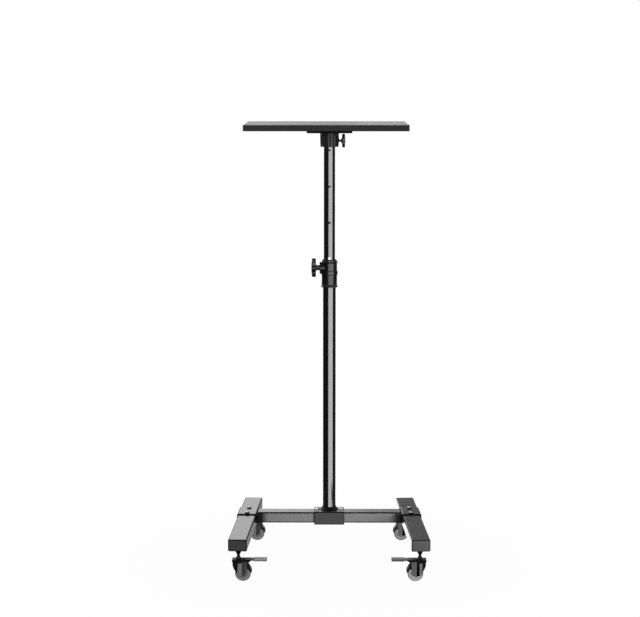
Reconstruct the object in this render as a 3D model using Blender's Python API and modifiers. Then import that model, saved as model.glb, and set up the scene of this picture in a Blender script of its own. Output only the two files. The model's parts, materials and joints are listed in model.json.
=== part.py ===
"""Rolling projector stand: a tray on a telescoping mast, over an H-shaped base on four casters.

Metres, +Z up, front towards -Y. The origin is on the floor under the middle of the stand's outer box.
Heights are chained upwards from the wheels, so a change of one piece moves whatever stands on it.
"""

import math

import bmesh
import bpy
from mathutils import Matrix

# Fits
seat_gap = 0.0003
cut_overrun = 0.002
weld_distance = 0.00001

# Facets
tube_steps = 24
wheel_steps = 24
hub_steps = 12
round_steps = 16
screw_steps = 10
corner_steps = 2
lobe_steps = 5
fender_steps = 4

# Tray board
tray_width = 0.400
tray_depth = 0.300
tray_thickness = 0.015
tray_corner_radius = 0.006
tray_edge_round = 0.0012
tray_side_shift = 0.008

# Pressed plate under the tray
plate_width = 0.112
plate_sheet = 0.002
plate_drop = 0.008
plate_corner_radius = 0.010

# Tube socket that the plate carries
socket_top_radius = 0.0234
socket_foot_radius = 0.0229
socket_foot_round = 0.0028
socket_bore_depth = 0.030
socket_roof = 0.0104
socket_flange_width = 0.084
socket_flange_thickness = 0.003
socket_flange_corner = 0.012
socket_rib_count = 12
socket_flute_radius = 0.0035
socket_flute_depth = 0.0009
socket_knob_drop = 0.015

# Screws through socket flange and plate into the tray
tray_screw_spacing = 0.064
tray_screw_radius = 0.002
tray_screw_head_radius = 0.0038
tray_screw_head_height = 0.002
tray_screw_bite = 0.010

# Mast tubes
tube_wall = 0.0012
upper_tube_radius = 0.014
upper_tube_length = 0.560
upper_tube_showing = 0.281
lower_tube_radius = 0.016
lower_tube_length = 0.610

# Index holes up the front of the upper tube, and the stud that fills the one over the collar
index_hole_radius = 0.003
index_hole_pitch = 0.090
index_hole_inset = 0.038
index_stud_place = 3
index_stud_flange_radius = 0.0042
index_stud_flange = 0.0012

# Guide bush in the foot of the upper tube
guide_bush_skirt = 0.010
guide_bush_plug = 0.020
guide_bush_wall = 0.0025

# Collar on top of the lower tube
collar_radius = 0.0191
collar_grip = 0.0355
collar_head = 0.0325
collar_chamfer = 0.0012
collar_lip_radius = 0.0224
collar_lip_height = 0.0024
collar_lip_inset = 0.0036
collar_band_radius = 0.0207
collar_band_height = 0.0095
collar_band_rise = 0.0316
collar_foot_radius = 0.0209
collar_foot_height = 0.0055
collar_boss_radius = 0.0155
collar_boss_reach = 0.0246
collar_boss_recess_radius = 0.0122
collar_boss_recess_depth = 0.0026
bush_flange_radius = 0.0176
bush_flange = 0.0012

# Height knob, on the collar's left
height_knob_rise = 0.0486
height_knob_radius = 0.0235
height_knob_thickness = 0.0102
height_knob_lobes = 8
height_knob_lobe_depth = 0.0028
height_knob_barrel_radius = 0.0065
height_knob_barrel = 0.0115
height_knob_crown_radius = 0.0130
height_knob_crown = 0.0012
height_stud_radius = 0.004

# Socket knob, on the socket's right
socket_knob_radius = 0.0168
socket_knob_thickness = 0.0072
socket_knob_lobes = 6
socket_knob_lobe_depth = 0.0022
socket_knob_cone = 0.0027
socket_knob_cone_radius = 0.0080
socket_knob_neck_radius = 0.0038
socket_stud_radius = 0.0027
socket_stud_showing = 0.0052
knob_edge_round = 0.0016

# Ring round the mast's foot, and the sleeve that holds the mast on the cross tube
mast_ring_radius = 0.0222
mast_ring_top_radius = 0.0178
mast_ring_height = 0.009
mast_ring_brim = 0.0025
sleeve_width = 0.076
sleeve_wall = 0.003
sleeve_side_wall = 0.0066
sleeve_screw_spacing = 0.060

# Cross tube
cross_tube_depth = 0.040
cross_tube_height = 0.0275
frame_wall = 0.0015
frame_corner_radius = 0.003

# Foot tubes, spaced at the saddles. Each is turned about its saddle, so that the pair closes to the rear
foot_spacing = 0.413
foot_turn_degrees = 3.0
foot_length = 0.420
foot_front_reach = 0.272
foot_width = 0.0455
foot_height = 0.029
cap_plate = 0.003
cap_plug = 0.012
cap_plug_wall = 0.002
cap_edge_round = 0.001

# Saddles over the feet
saddle_sheet = 0.0025
saddle_length = 0.070
saddle_drop = 0.0245
saddle_bend_radius = 0.003
saddle_screw_spacing = 0.050

# Frame screws
frame_screw_radius = 0.003
frame_screw_length = 0.014
frame_screw_head_radius = 0.006
frame_screw_head_height = 0.0036
screw_recess_span = 0.0076
screw_recess_width = 0.0016
screw_recess_depth = 0.0016

# Casters: wheel
wheel_diameter = 0.038
tyre_width = 0.016
tyre_height = 0.0068
tyre_round = 0.003
hub_width = 0.0140
hub_rim = 0.002
hub_web = 0.005
hub_boss_radius = 0.0055
axle_radius = 0.0025

# Casters: hood over the wheel, measured from the swivel axis
caster_inset = 0.025
wheel_trail = 0.011
tyre_clearance = 0.0013
hood_outer_reach = 0.0155
hood_inner_reach = 0.030
hood_roof = 0.0147
hood_cavity_width = 0.019
hood_cheek = 0.0025
hood_cheek_step = 0.0005
hood_panel = 0.0007
hood_blind_wall = 0.001
fender_thin = 0.0015
fender_thick = 0.0037
fender_low_angle = 10
fender_high_angle = 60

# Casters: stem, turned to an hourglass between foot and hood
stem_showing = 0.0245
stem_foot_radius = 0.0072
stem_brim = 0.0015
stem_neck_radius = 0.0027
stem_neck_rise = 0.0090
stem_rise = 0.012
stem_shank_radius = 0.004
stem_head_radius = 0.0050
stem_head_height = 0.002
hood_boss_radius = 0.0066
hood_boss_brim = 0.002
hood_boss_rise = 0.0075

# Casters: brake pedal on the front pair
pedal_pivot_inset = 0.0095
pedal_pivot_rise = 0.009
pedal_pivot_radius = 0.0018
pedal_side_gap = 0.00075
pedal_knuckle = 0.0045
pedal_arm_thickness = 0.0035
pedal_arm_proud = 0.0005
pedal_arm_reach = 0.038
pedal_tongue_thickness = 0.0022
pedal_reach = 0.0690
pedal_pad_width = 0.0205
pedal_pad_thickness = 0.0046
pedal_pad_wall = 0.0010
pedal_pad_round = 0.0014
pedal_slot_inset = 0.0035
pedal_slot_drop = 0.004

# Screw heads: shares of the head's radius and height
pan_head_shares = ((0.0, 1.0), (0.7, 0.92), (1.0, 0.45), (1.0, 0.0))

# Crown on a knob's outer face: shares of its radius and height
knob_crown_shares = ((0.0, 1.0), (0.5, 0.8), (1.0, 0.0))
knob_crown_root_share = 0.9

# Cones of the caster's stem where they meet the neck: share of the neck's radius
stem_cone_share = 1.5

# How deep in the hood's roof the stem's head pulls up, as a share of the roof
stem_head_share = 1 / 3

# Side outline of the hood, as shares of its reach on that side of the stem and of its height
hood_outer_shares = ((-1.0, 1.0), (-1.0, 0.925), (-0.90, 0.89), (-0.90, 0.74), (-0.71, 0.59), (-0.41, 0.435))
hood_inner_shares = ((0.79, 0.83), (0.87, 0.90), (1.0, 0.94), (1.0, 1.0))

# Tongue of the cheek and its raised panel, as shares of the wheel's radius from the axle
tongue_shares = (
    (-0.74, -0.08), (-0.42, -0.26), (-0.11, -0.32), (0.21, -0.25),
    (0.43, 0.02), (0.48, 0.35), (0.49, 0.85), (0.62, 1.16),
)
panel_shares = (
    (-0.15, 1.58), (-0.15, -0.27), (0.13, -0.23), (0.36, 0.03),
    (0.42, 0.35), (0.43, 0.88), (0.54, 1.25), (0.60, 1.58),
)

# Brake shoe: degrees from straight down towards the stem, and share of the way from pivot to tyre
shoe_shares = ((21, 0.83), (13, 0.895), (7, 0.93), (1, 0.96), (-5, 0.96), (-11, 0.92))

# Heights, from the floor up
wheel_radius = wheel_diameter / 2
hood_cavity_radius = wheel_radius + tyre_clearance
hood_top = wheel_radius + hood_cavity_radius + hood_roof
foot_bottom = hood_top + stem_showing
foot_top = foot_bottom + foot_height
saddle_top = foot_top + seat_gap + saddle_sheet
cross_top = saddle_top
sleeve_top = cross_top + seat_gap + sleeve_wall
lower_tube_foot = cross_top + seat_gap
lower_tube_top = lower_tube_foot + lower_tube_length
collar_foot = lower_tube_top + seat_gap - collar_grip
collar_height = collar_grip + collar_head
collar_top = collar_foot + collar_height
bush_top = collar_top + seat_gap + bush_flange
socket_foot = bush_top + upper_tube_showing
upper_tube_top = socket_foot + socket_bore_depth
socket_top = upper_tube_top + seat_gap + socket_roof
plate_top = socket_top + seat_gap + plate_sheet
tray_bottom = plate_top + seat_gap
height_knob_axis = collar_foot + height_knob_rise
socket_knob_axis = socket_foot + socket_knob_drop

# Places across the floor. A foot's own Y runs along it, from the saddle's middle
foot_turn = math.radians(foot_turn_degrees)
foot_rear_reach = foot_length - foot_front_reach
foot_middle = (foot_rear_reach - foot_front_reach) / 2
foot_corner_reach = foot_width / 2 * math.sin(foot_turn)
front_reach = foot_front_reach * math.cos(foot_turn) + foot_corner_reach
rear_reach = foot_rear_reach * math.cos(foot_turn) + foot_corner_reach
mast_y = (front_reach - max(rear_reach, tray_depth / 2)) / 2

# Directions: a piece's own Z along X or Y, or a flat outline stood up in the XZ or YZ plane
along_x = (0, math.radians(90), 0)
along_minus_x = (0, math.radians(-90), 0)
along_y = (math.radians(-90), 0, 0)
upright = (math.radians(90), 0, 0)
upright_along_x = (math.radians(90), 0, math.radians(90))


def start():
    """Clear the scene and make the stand's collection."""
    for item in list(bpy.data.objects):
        bpy.data.objects.remove(item, do_unlink=True)
    collection = bpy.data.collections.new("projector_stand")
    bpy.context.scene.collection.children.link(collection)
    return collection


stand = start()


def paint(name, colour, roughness, metallic=0.0):
    """A plain Principled material."""
    material = bpy.data.materials.new(name)
    material.use_nodes = True
    shader = material.node_tree.nodes["Principled BSDF"]
    shader.inputs["Base Color"].default_value = (*colour, 1.0)
    shader.inputs["Roughness"].default_value = roughness
    shader.inputs["Metallic"].default_value = metallic
    return material


gloss_black = paint("gloss_black_tube", (0.010, 0.010, 0.011), 0.12)
frame_grey = paint("frame_grey_paint", (0.060, 0.061, 0.064), 0.38)
board_black = paint("board_black", (0.030, 0.030, 0.032), 0.45)
plastic_black = paint("plastic_black", (0.018, 0.018, 0.020), 0.42)
nylon_grey = paint("nylon_grey", (0.120, 0.120, 0.125), 0.50)
wheel_grey = paint("wheel_grey", (0.170, 0.170, 0.175), 0.55)
bright_steel = paint("bright_steel", (0.620, 0.620, 0.630), 0.25, 1.0)
black_steel = paint("black_steel", (0.030, 0.030, 0.032), 0.35, 0.6)


def solid(name, mesh, location=(0, 0, 0), rotation=(0, 0, 0)):
    """An object in the stand's collection."""
    piece = bpy.data.objects.new(name, mesh)
    piece.location = location
    piece.rotation_euler = rotation
    stand.objects.link(piece)
    return piece


def evaluated(item):
    """The mesh that an object has after its modifiers or its curve bevel."""
    graph = bpy.context.evaluated_depsgraph_get()
    return bpy.data.meshes.new_from_object(item.evaluated_get(graph))


def welded(mesh):
    """Close a mesh's seams, turn its faces outwards and merge its flat faces."""
    net = bmesh.new()
    net.from_mesh(mesh)
    bmesh.ops.remove_doubles(net, verts=net.verts, dist=weld_distance)
    bmesh.ops.dissolve_degenerate(net, edges=net.edges, dist=weld_distance)
    bmesh.ops.dissolve_limit(net, angle_limit=math.radians(0.5), verts=net.verts, edges=net.edges)
    bmesh.ops.recalc_face_normals(net, faces=net.faces)
    net.to_mesh(mesh)
    net.free()
    return mesh


def turned(name, profile, steps=round_steps, ring=False):
    """A profile of (radius, height) points turned about Z: outer side first, from top to bottom.

    A ring's profile closes on itself, and any other starts and ends on the axis."""
    last = len(profile) - 1
    edges = [(index, index + 1) for index in range(last)]
    if ring:
        edges.append((last, 0))
    mesh = bpy.data.meshes.new(name)
    mesh.from_pydata([(radius, 0, height) for radius, height in profile], edges, [])
    guide = solid(name, mesh)
    screw = guide.modifiers.new("Turn", "SCREW")
    screw.steps = steps
    screw.render_steps = steps
    screw.use_merge_vertices = True
    screw.merge_threshold = weld_distance
    result = welded(evaluated(guide))
    bpy.data.objects.remove(guide)
    return result


def extruded(name, outline, thickness):
    """A flat outline as a slab centred on z = 0."""
    curve = bpy.data.curves.new(name, "CURVE")
    curve.dimensions = "2D"
    curve.fill_mode = "BOTH"
    curve.extrude = thickness / 2
    spline = curve.splines.new("POLY")
    spline.points.add(len(outline) - 1)
    for point, (x, y) in zip(spline.points, outline):
        point.co = (x, y, 0, 1)
    spline.use_cyclic_u = True
    guide = solid(name, curve)
    result = welded(evaluated(guide))
    bpy.data.objects.remove(guide)
    return result


def hollow_prism(name, outside, inside, length):
    """One outline's slab with another's bored right through it."""
    prism = solid(name, extruded(name, outside, length))
    cut(prism, extruded("bore", inside, length + 2 * cut_overrun))
    mesh = prism.data
    bpy.data.objects.remove(prism)
    return mesh


def cylinder(name, radius, length, steps=round_steps):
    """A cylinder along Z, centred on the origin."""
    net = bmesh.new()
    bmesh.ops.create_cone(net, cap_ends=True, segments=steps, radius1=radius, radius2=radius, depth=length)
    mesh = bpy.data.meshes.new(name)
    net.to_mesh(mesh)
    net.free()
    return mesh


def cuboid(name, width, depth, height):
    """A box centred on the origin."""
    net = bmesh.new()
    bmesh.ops.create_cube(net, size=1, matrix=Matrix.Diagonal((width, depth, height, 1)))
    mesh = bpy.data.meshes.new(name)
    net.to_mesh(mesh)
    net.free()
    return mesh


def clearance_hole(radius, length):
    """A cutter for a hole that a fastener of this radius passes through."""
    return cylinder("hole", radius + seat_gap, length, screw_steps)


def through_hole(radius, wall):
    """A clearance hole right through a wall, centred on the wall's middle."""
    return clearance_hole(radius, wall + 2 * cut_overrun)


def combine(piece, tool, operation):
    """Apply a Boolean of a tool to a piece, and remove the tool."""
    boolean = piece.modifiers.new(tool.name, "BOOLEAN")
    boolean.operation = operation
    boolean.solver = "EXACT"
    boolean.object = tool
    mesh = evaluated(piece)
    piece.modifiers.clear()
    piece.data = mesh
    bpy.data.objects.remove(tool)


def cut(piece, mesh, location=(0, 0, 0), rotation=(0, 0, 0)):
    """Take a shape away from a piece."""
    combine(piece, solid("cutter", mesh, location, rotation), "DIFFERENCE")


def join(piece, mesh, location=(0, 0, 0), rotation=(0, 0, 0)):
    """Fuse a shape with a piece."""
    combine(piece, solid("addition", mesh, location, rotation), "UNION")


def round_edges(piece, width, segments=2, sharpest=40):
    """Round the edges that turn by more than this many degrees."""
    bevel = piece.modifiers.new("Round", "BEVEL")
    bevel.width = width
    bevel.segments = segments
    bevel.limit_method = "ANGLE"
    bevel.angle_limit = math.radians(sharpest)
    mesh = evaluated(piece)
    piece.modifiers.clear()
    piece.data = mesh


def place(piece, material, location=(0, 0, 0), rotation=(0, 0, 0), parent=None):
    """Give a finished piece its material and smooth shading, and put it where it belongs."""
    welded(piece.data)
    piece.data.materials.clear()
    piece.data.materials.append(material)
    piece.data.shade_smooth()
    piece.data.set_sharp_from_angle(angle=math.radians(35))
    piece.location = location
    piece.rotation_euler = rotation
    piece.parent = parent
    return piece


def empty(name, location, rotation=(0, 0, 0), parent=None):
    """An axis that moving pieces hang on."""
    axis = solid(name, None, location, rotation)
    axis.parent = parent
    return axis


def arc(centre, radius, first, last, steps):
    """Points on an arc, with both ends, angles in degrees."""
    points = []
    for step in range(steps + 1):
        angle = math.radians(first + (last - first) * step / steps)
        points.append((centre[0] + radius * math.cos(angle), centre[1] + radius * math.sin(angle)))
    return points


def rounded_rectangle(width, height, radius, steps=corner_steps):
    """A rectangle about the origin with round corners."""
    points = []
    for side, end, first in ((1, 1, 0), (-1, 1, 90), (-1, -1, 180), (1, -1, 270)):
        centre = (side * (width / 2 - radius), end * (height / 2 - radius))
        points += arc(centre, radius, first, first + 90, steps)
    return points


def box_tube(name, width, height, wall, radius, length):
    """A rectangular tube along Z with round corners."""
    outside = rounded_rectangle(width, height, radius)
    inside = rounded_rectangle(width - 2 * wall, height - 2 * wall, radius - wall)
    return hollow_prism(name, outside, inside, length)


def round_tube(name, radius, wall, length):
    """A round tube standing on z = 0."""
    bore = radius - wall
    return turned(name, ((radius, length), (radius, 0), (bore, 0), (bore, length)), tube_steps, ring=True)


def lobed_outline(radius, depth, lobes):
    """A knob's outline: as many round lobes, with hollows this deep between them."""
    points = []
    for step in range(lobes * lobe_steps):
        turn = 2 * math.pi * step / (lobes * lobe_steps)
        reach = radius - depth * (1 - math.cos(lobes * turn)) / 2
        points.append((reach * math.cos(turn), reach * math.sin(turn)))
    return points


def pan_screw(name, radius, length, head_radius, head_height, recess=True):
    """A pan-head screw: its head stands on z = 0 and its shank hangs below."""
    head = [(head_radius * across, head_height * up) for across, up in pan_head_shares]
    profile = head + [(radius, 0), (radius, -length), (0, -length)]
    piece = solid(name, turned(name, profile, screw_steps))
    if recess:
        depth = screw_recess_depth + cut_overrun
        height = head_height - screw_recess_depth + depth / 2
        cross = solid("cross", cuboid("cross", screw_recess_span, screw_recess_width, depth))
        join(cross, cuboid("arm", screw_recess_width, screw_recess_span, depth))
        cut(piece, cross.data, (0, 0, height))
        bpy.data.objects.remove(cross)
    return piece


# Tray head
def build_tray():
    """The board, with blind holes for the four screws from below. It sits a little left of the mast."""
    outline = rounded_rectangle(tray_width, tray_depth, tray_corner_radius, corner_steps + 2)
    board = solid("tray_board", extruded("tray_board", outline, tray_thickness))
    round_edges(board, tray_edge_round)
    hole_depth = tray_screw_hole_depth()
    for x, y in tray_screw_places():
        hole = clearance_hole(tray_screw_radius, hole_depth + cut_overrun)
        hole_z = -tray_thickness / 2 + (hole_depth - cut_overrun) / 2
        cut(board, hole, (x + tray_side_shift, y, hole_z))
    place(board, board_black, (-tray_side_shift, mast_y, tray_bottom + tray_thickness / 2))


def tray_screw_hole_depth():
    return tray_screw_bite + seat_gap


def tray_screw_places():
    """The four screws' places about the mast's axis."""
    half = tray_screw_spacing / 2
    return ((-half, -half), (half, -half), (-half, half), (half, half))


def build_plate():
    """A pressed square dish, open below, that the tray sits on."""
    outline = rounded_rectangle(plate_width, plate_width, plate_corner_radius, corner_steps + 1)
    plate = solid("tray_plate", extruded("tray_plate", outline, plate_drop))
    round_edges(plate, plate_sheet / 2)
    inner_width = plate_width - 2 * plate_sheet
    inner_outline = rounded_rectangle(inner_width, inner_width, plate_corner_radius - plate_sheet)
    inner_height = plate_drop - plate_sheet + cut_overrun
    hollow = extruded("hollow", inner_outline, inner_height)
    cut(plate, hollow, (0, 0, plate_drop / 2 - plate_sheet - inner_height / 2))
    for x, y in tray_screw_places():
        cut(plate, through_hole(tray_screw_radius, plate_sheet), (x, y, (plate_drop - plate_sheet) / 2))
    place(plate, black_steel, (0, mast_y, plate_top - plate_drop / 2))


def build_socket():
    """The fluted socket that drops over the upper tube, with its square flange."""
    height = socket_top - socket_foot
    corner = arc((socket_foot_radius - socket_foot_round, socket_foot_round), socket_foot_round, 0, -90, 3)
    profile = [(0, height), (socket_top_radius, height)] + corner + [(0, 0)]
    socket = solid("tube_socket", turned("tube_socket", profile, tube_steps))
    flute_height = socket_knob_axis_rise() * 2
    for rib in range(socket_rib_count):
        turn = 2 * math.pi * (rib + 0.5) / socket_rib_count
        reach = socket_top_radius + socket_flute_radius - socket_flute_depth
        flute = cylinder("flute", socket_flute_radius, flute_height, screw_steps)
        cut(socket, flute, (reach * math.cos(turn), reach * math.sin(turn), flute_height / 2 - cut_overrun))
    square = rounded_rectangle(socket_flange_width, socket_flange_width, socket_flange_corner)
    flange = extruded("flange", square, socket_flange_thickness)
    join(socket, flange, (0, 0, height - socket_flange_thickness / 2))
    bore_length = socket_bore_depth + seat_gap + cut_overrun
    bore = cylinder("bore", upper_tube_radius + seat_gap, bore_length, tube_steps)
    cut(socket, bore, (0, 0, bore_length / 2 - cut_overrun))
    stud_bore = clearance_hole(socket_stud_radius, socket_top_radius)
    cut(socket, stud_bore, (socket_top_radius, 0, socket_knob_axis_rise()), along_x)
    for x, y in tray_screw_places():
        hole = through_hole(tray_screw_radius, socket_flange_thickness)
        cut(socket, hole, (x, y, height - socket_flange_thickness / 2))
    place(socket, plastic_black, (0, mast_y, socket_foot))


def socket_knob_axis_rise():
    """Height of the socket knob's axis over the socket's foot."""
    return socket_knob_axis - socket_foot


def build_tray_screws():
    """Four pan screws, heads down, that clamp flange and plate to the board."""
    head_seat = socket_top - socket_flange_thickness - seat_gap
    length = tray_bottom + tray_screw_bite - head_seat
    names = ("front_left", "front_right", "rear_left", "rear_right")
    for name, (x, y) in zip(names, tray_screw_places()):
        screw = pan_screw(
            f"{name}_tray_screw", tray_screw_radius, length,
            tray_screw_head_radius, tray_screw_head_height, recess=False,
        )
        place(screw, bright_steel, (x, mast_y + y, head_seat), (math.pi, 0, 0))


# Mast
def build_upper_tube():
    """The inner tube, with index holes through its front wall and one of them filled by a stud."""
    tube = solid("upper_tube", round_tube("upper_tube", upper_tube_radius, tube_wall, upper_tube_length))
    lowest = guide_bush_plug + index_hole_pitch / 2
    count = int((upper_tube_length - index_hole_inset - lowest) / index_hole_pitch) + 1
    for index in range(count):
        height = upper_tube_length - index_hole_inset - index * index_hole_pitch
        hole = cylinder("index_hole", index_hole_radius, upper_tube_radius, screw_steps)
        cut(tube, hole, (0, -upper_tube_radius, height), along_y)
    place(tube, gloss_black, (0, mast_y, upper_tube_top - upper_tube_length))

    stud_radius = index_hole_radius - seat_gap
    face = math.sqrt(upper_tube_radius ** 2 - stud_radius ** 2)
    bore = upper_tube_radius - tube_wall
    flange_seat = math.sqrt(bore ** 2 - index_stud_flange_radius ** 2) - seat_gap
    profile = (
        (0, face), (stud_radius, face), (stud_radius, flange_seat),
        (index_stud_flange_radius, flange_seat), (index_stud_flange_radius, flange_seat - index_stud_flange),
        (0, flange_seat - index_stud_flange),
    )
    stud = solid("index_stud", turned("index_stud", profile, screw_steps))
    stud_height = upper_tube_top - index_hole_inset - index_stud_place * index_hole_pitch
    place(stud, bright_steel, (0, mast_y, stud_height), upright)


def build_guide_bush():
    """A nylon bush plugged into the upper tube's foot, which centres it in the lower tube."""
    plug_radius = upper_tube_radius - tube_wall - seat_gap
    skirt_radius = lower_tube_radius - tube_wall - seat_gap
    bore = plug_radius - guide_bush_wall
    profile = (
        (plug_radius, guide_bush_plug), (plug_radius, -seat_gap), (skirt_radius, -seat_gap),
        (skirt_radius, -seat_gap - guide_bush_skirt), (bore, -seat_gap - guide_bush_skirt),
        (bore, guide_bush_plug),
    )
    bush = solid("guide_bush", turned("guide_bush", profile, tube_steps, ring=True))
    place(bush, nylon_grey, (0, mast_y, upper_tube_top - upper_tube_length))


def build_lower_tube():
    """The outer tube, from the cross tube up into the collar."""
    tube = solid("lower_tube", round_tube("lower_tube", lower_tube_radius, tube_wall, lower_tube_length))
    place(tube, gloss_black, (0, mast_y, lower_tube_foot))


def build_collar():
    """The moulded collar: foot flare, middle band, top lip, and a cupped boss for the height knob."""
    lip_top = collar_height - collar_lip_inset
    lip_bottom = lip_top - collar_lip_height
    band_top = collar_band_rise + collar_band_height
    soft = collar_chamfer / 2
    profile = (
        (0, collar_height),
        (collar_radius - collar_chamfer, collar_height),
        (collar_radius, collar_height - collar_chamfer),
        (collar_radius, lip_top),
        (collar_lip_radius, lip_top - soft),
        (collar_lip_radius, lip_bottom + soft),
        (collar_radius, lip_bottom),
        (collar_radius, band_top),
        (collar_band_radius, band_top - soft),
        (collar_band_radius, collar_band_rise + soft),
        (collar_radius, collar_band_rise),
        (collar_radius, collar_foot_height),
        (collar_foot_radius, soft),
        (collar_foot_radius - soft, 0),
        (0, 0),
    )
    collar = solid("collar", turned("collar", profile, tube_steps))
    boss = solid("boss", cylinder("boss", collar_boss_radius, collar_boss_reach))
    round_edges(boss, collar_chamfer, 1)
    join(collar, boss.data, (-collar_boss_reach / 2, 0, height_knob_rise), along_x)
    bpy.data.objects.remove(boss)
    recess_length = collar_boss_recess_depth + cut_overrun
    recess = cylinder("recess", collar_boss_recess_radius, recess_length)
    recess_x = collar_boss_reach - collar_boss_recess_depth + recess_length / 2
    cut(collar, recess, (-recess_x, 0, height_knob_rise), along_x)
    bore = cylinder("bore", lower_tube_radius + seat_gap, collar_height + 2 * cut_overrun, tube_steps)
    cut(collar, bore, (0, 0, collar_height / 2))
    stud_bore = clearance_hole(height_stud_radius, collar_boss_reach)
    cut(collar, stud_bore, (-collar_boss_reach, 0, height_knob_rise), along_x)
    place(collar, plastic_black, (0, mast_y, collar_foot))


def build_collar_bush():
    """The nylon liner that the upper tube runs in, seated on the lower tube and on the collar's rim."""
    bore = upper_tube_radius + seat_gap
    height = bush_top - lower_tube_top - seat_gap
    flange_seat = height - bush_flange
    profile = (
        (bush_flange_radius, height), (bush_flange_radius, flange_seat), (lower_tube_radius, flange_seat),
        (lower_tube_radius, 0), (bore, 0), (bore, height),
    )
    bush = solid("collar_bush", turned("collar_bush", profile, tube_steps, ring=True))
    foot = lower_tube_top + seat_gap
    stud_bore = clearance_hole(height_stud_radius, lower_tube_radius)
    cut(bush, stud_bore, (-lower_tube_radius, 0, height_knob_axis - foot), along_x)
    place(bush, nylon_grey, (0, mast_y, foot))


def build_mast_foot():
    """The flared ring round the mast's foot, on top of the sleeve."""
    bore = lower_tube_radius + seat_gap
    profile = (
        (mast_ring_top_radius, mast_ring_height), (mast_ring_radius, mast_ring_brim),
        (mast_ring_radius, 0), (bore, 0), (bore, mast_ring_height),
    )
    ring = solid("mast_foot_ring", turned("mast_foot_ring", profile, tube_steps, ring=True))
    place(ring, frame_grey, (0, mast_y, sleeve_top + seat_gap))


# Knobs
def build_knob(name, radius, thickness, lobes, lobe_depth, head_seat, crown_radius, crown):
    """A lobed head along Z, with a low round crown on its outer face."""
    outline = lobed_outline(radius, lobe_depth, lobes)
    knob = solid(name, extruded(name, outline, thickness))
    round_edges(knob, knob_edge_round)
    knob.location.z = head_seat + thickness / 2
    dome = [(crown_radius * across, thickness / 2 + crown * up) for across, up in knob_crown_shares]
    dome += [(crown_radius * knob_crown_root_share, 0), (0, 0)]
    join(knob, turned("crown", dome), knob.location)
    knob.data.transform(Matrix.Translation(knob.location))
    return knob


def build_height_knob():
    """The lobed knob with a barrel and the stud that grips the upper tube."""
    barrel_seat = collar_boss_reach - collar_boss_recess_depth + seat_gap
    head_seat = barrel_seat + height_knob_barrel
    knob = build_knob(
        "height_knob", height_knob_radius, height_knob_thickness, height_knob_lobes,
        height_knob_lobe_depth, head_seat, height_knob_crown_radius, height_knob_crown,
    )
    knob.location = (0, 0, 0)
    barrel_length = height_knob_barrel + height_knob_thickness / 2
    barrel = cylinder("barrel", height_knob_barrel_radius, barrel_length)
    join(knob, barrel, (0, 0, barrel_seat + barrel_length / 2))
    stud_foot = upper_tube_radius + seat_gap
    stud_end = head_seat + height_knob_thickness / 2
    bore_end = stud_end + seat_gap
    bore = clearance_hole(height_stud_radius, bore_end - barrel_seat + cut_overrun)
    cut(knob, bore, (0, 0, (bore_end + barrel_seat - cut_overrun) / 2))
    place(knob, plastic_black, (0, mast_y, height_knob_axis), along_minus_x)

    rod = cylinder("stud", height_stud_radius, stud_end - stud_foot, screw_steps)
    rod.transform(Matrix.Translation((0, 0, (stud_end + stud_foot) / 2)))
    stud = solid("height_knob_stud", rod)
    place(stud, bright_steel, (0, mast_y, height_knob_axis), along_minus_x)


def build_socket_knob():
    """The smaller lobed knob on a bare stud, which grips the tube inside the socket."""
    cone_seat = socket_top_radius + socket_stud_showing
    head_seat = cone_seat + socket_knob_cone
    knob = build_knob(
        "socket_knob", socket_knob_radius, socket_knob_thickness, socket_knob_lobes,
        socket_knob_lobe_depth, head_seat, socket_knob_cone_radius, socket_knob_cone / 3,
    )
    knob.location = (0, 0, 0)
    inner_face = head_seat + socket_knob_thickness / 2
    cone = (
        (0, inner_face), (socket_knob_cone_radius, inner_face), (socket_knob_cone_radius, head_seat),
        (socket_knob_neck_radius, cone_seat), (0, cone_seat),
    )
    join(knob, turned("cone", cone))
    stud_foot = upper_tube_radius + seat_gap
    bore_end = inner_face + seat_gap
    bore = clearance_hole(socket_stud_radius, bore_end - cone_seat + cut_overrun)
    cut(knob, bore, (0, 0, (bore_end + cone_seat - cut_overrun) / 2))
    place(knob, plastic_black, (0, mast_y, socket_knob_axis), along_x)

    rod = cylinder("stud", socket_stud_radius, inner_face - stud_foot, screw_steps)
    rod.transform(Matrix.Translation((0, 0, (inner_face + stud_foot) / 2)))
    stud = solid("socket_knob_stud", rod)
    place(stud, bright_steel, (0, mast_y, socket_knob_axis), along_x)


# Base frame
def frame_screw(name, x, y, seat, parent=None):
    """One of the screws that hold saddles and sleeve down."""
    screw = pan_screw(
        name, frame_screw_radius, frame_screw_length, frame_screw_head_radius, frame_screw_head_height,
    )
    place(screw, black_steel, (x, y, seat + seat_gap), parent=parent)


def foot_frame(name, side):
    """A foot's own axes: on the floor under the saddle's middle, turned with the foot."""
    return empty(f"{name}_foot_axis", (side * foot_spacing / 2, mast_y, 0), (0, 0, side * foot_turn))


def stem_along(end):
    """How far along its foot a caster's stem stands, from the saddle's middle."""
    return foot_middle + end * (foot_length / 2 - caster_inset)


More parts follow.
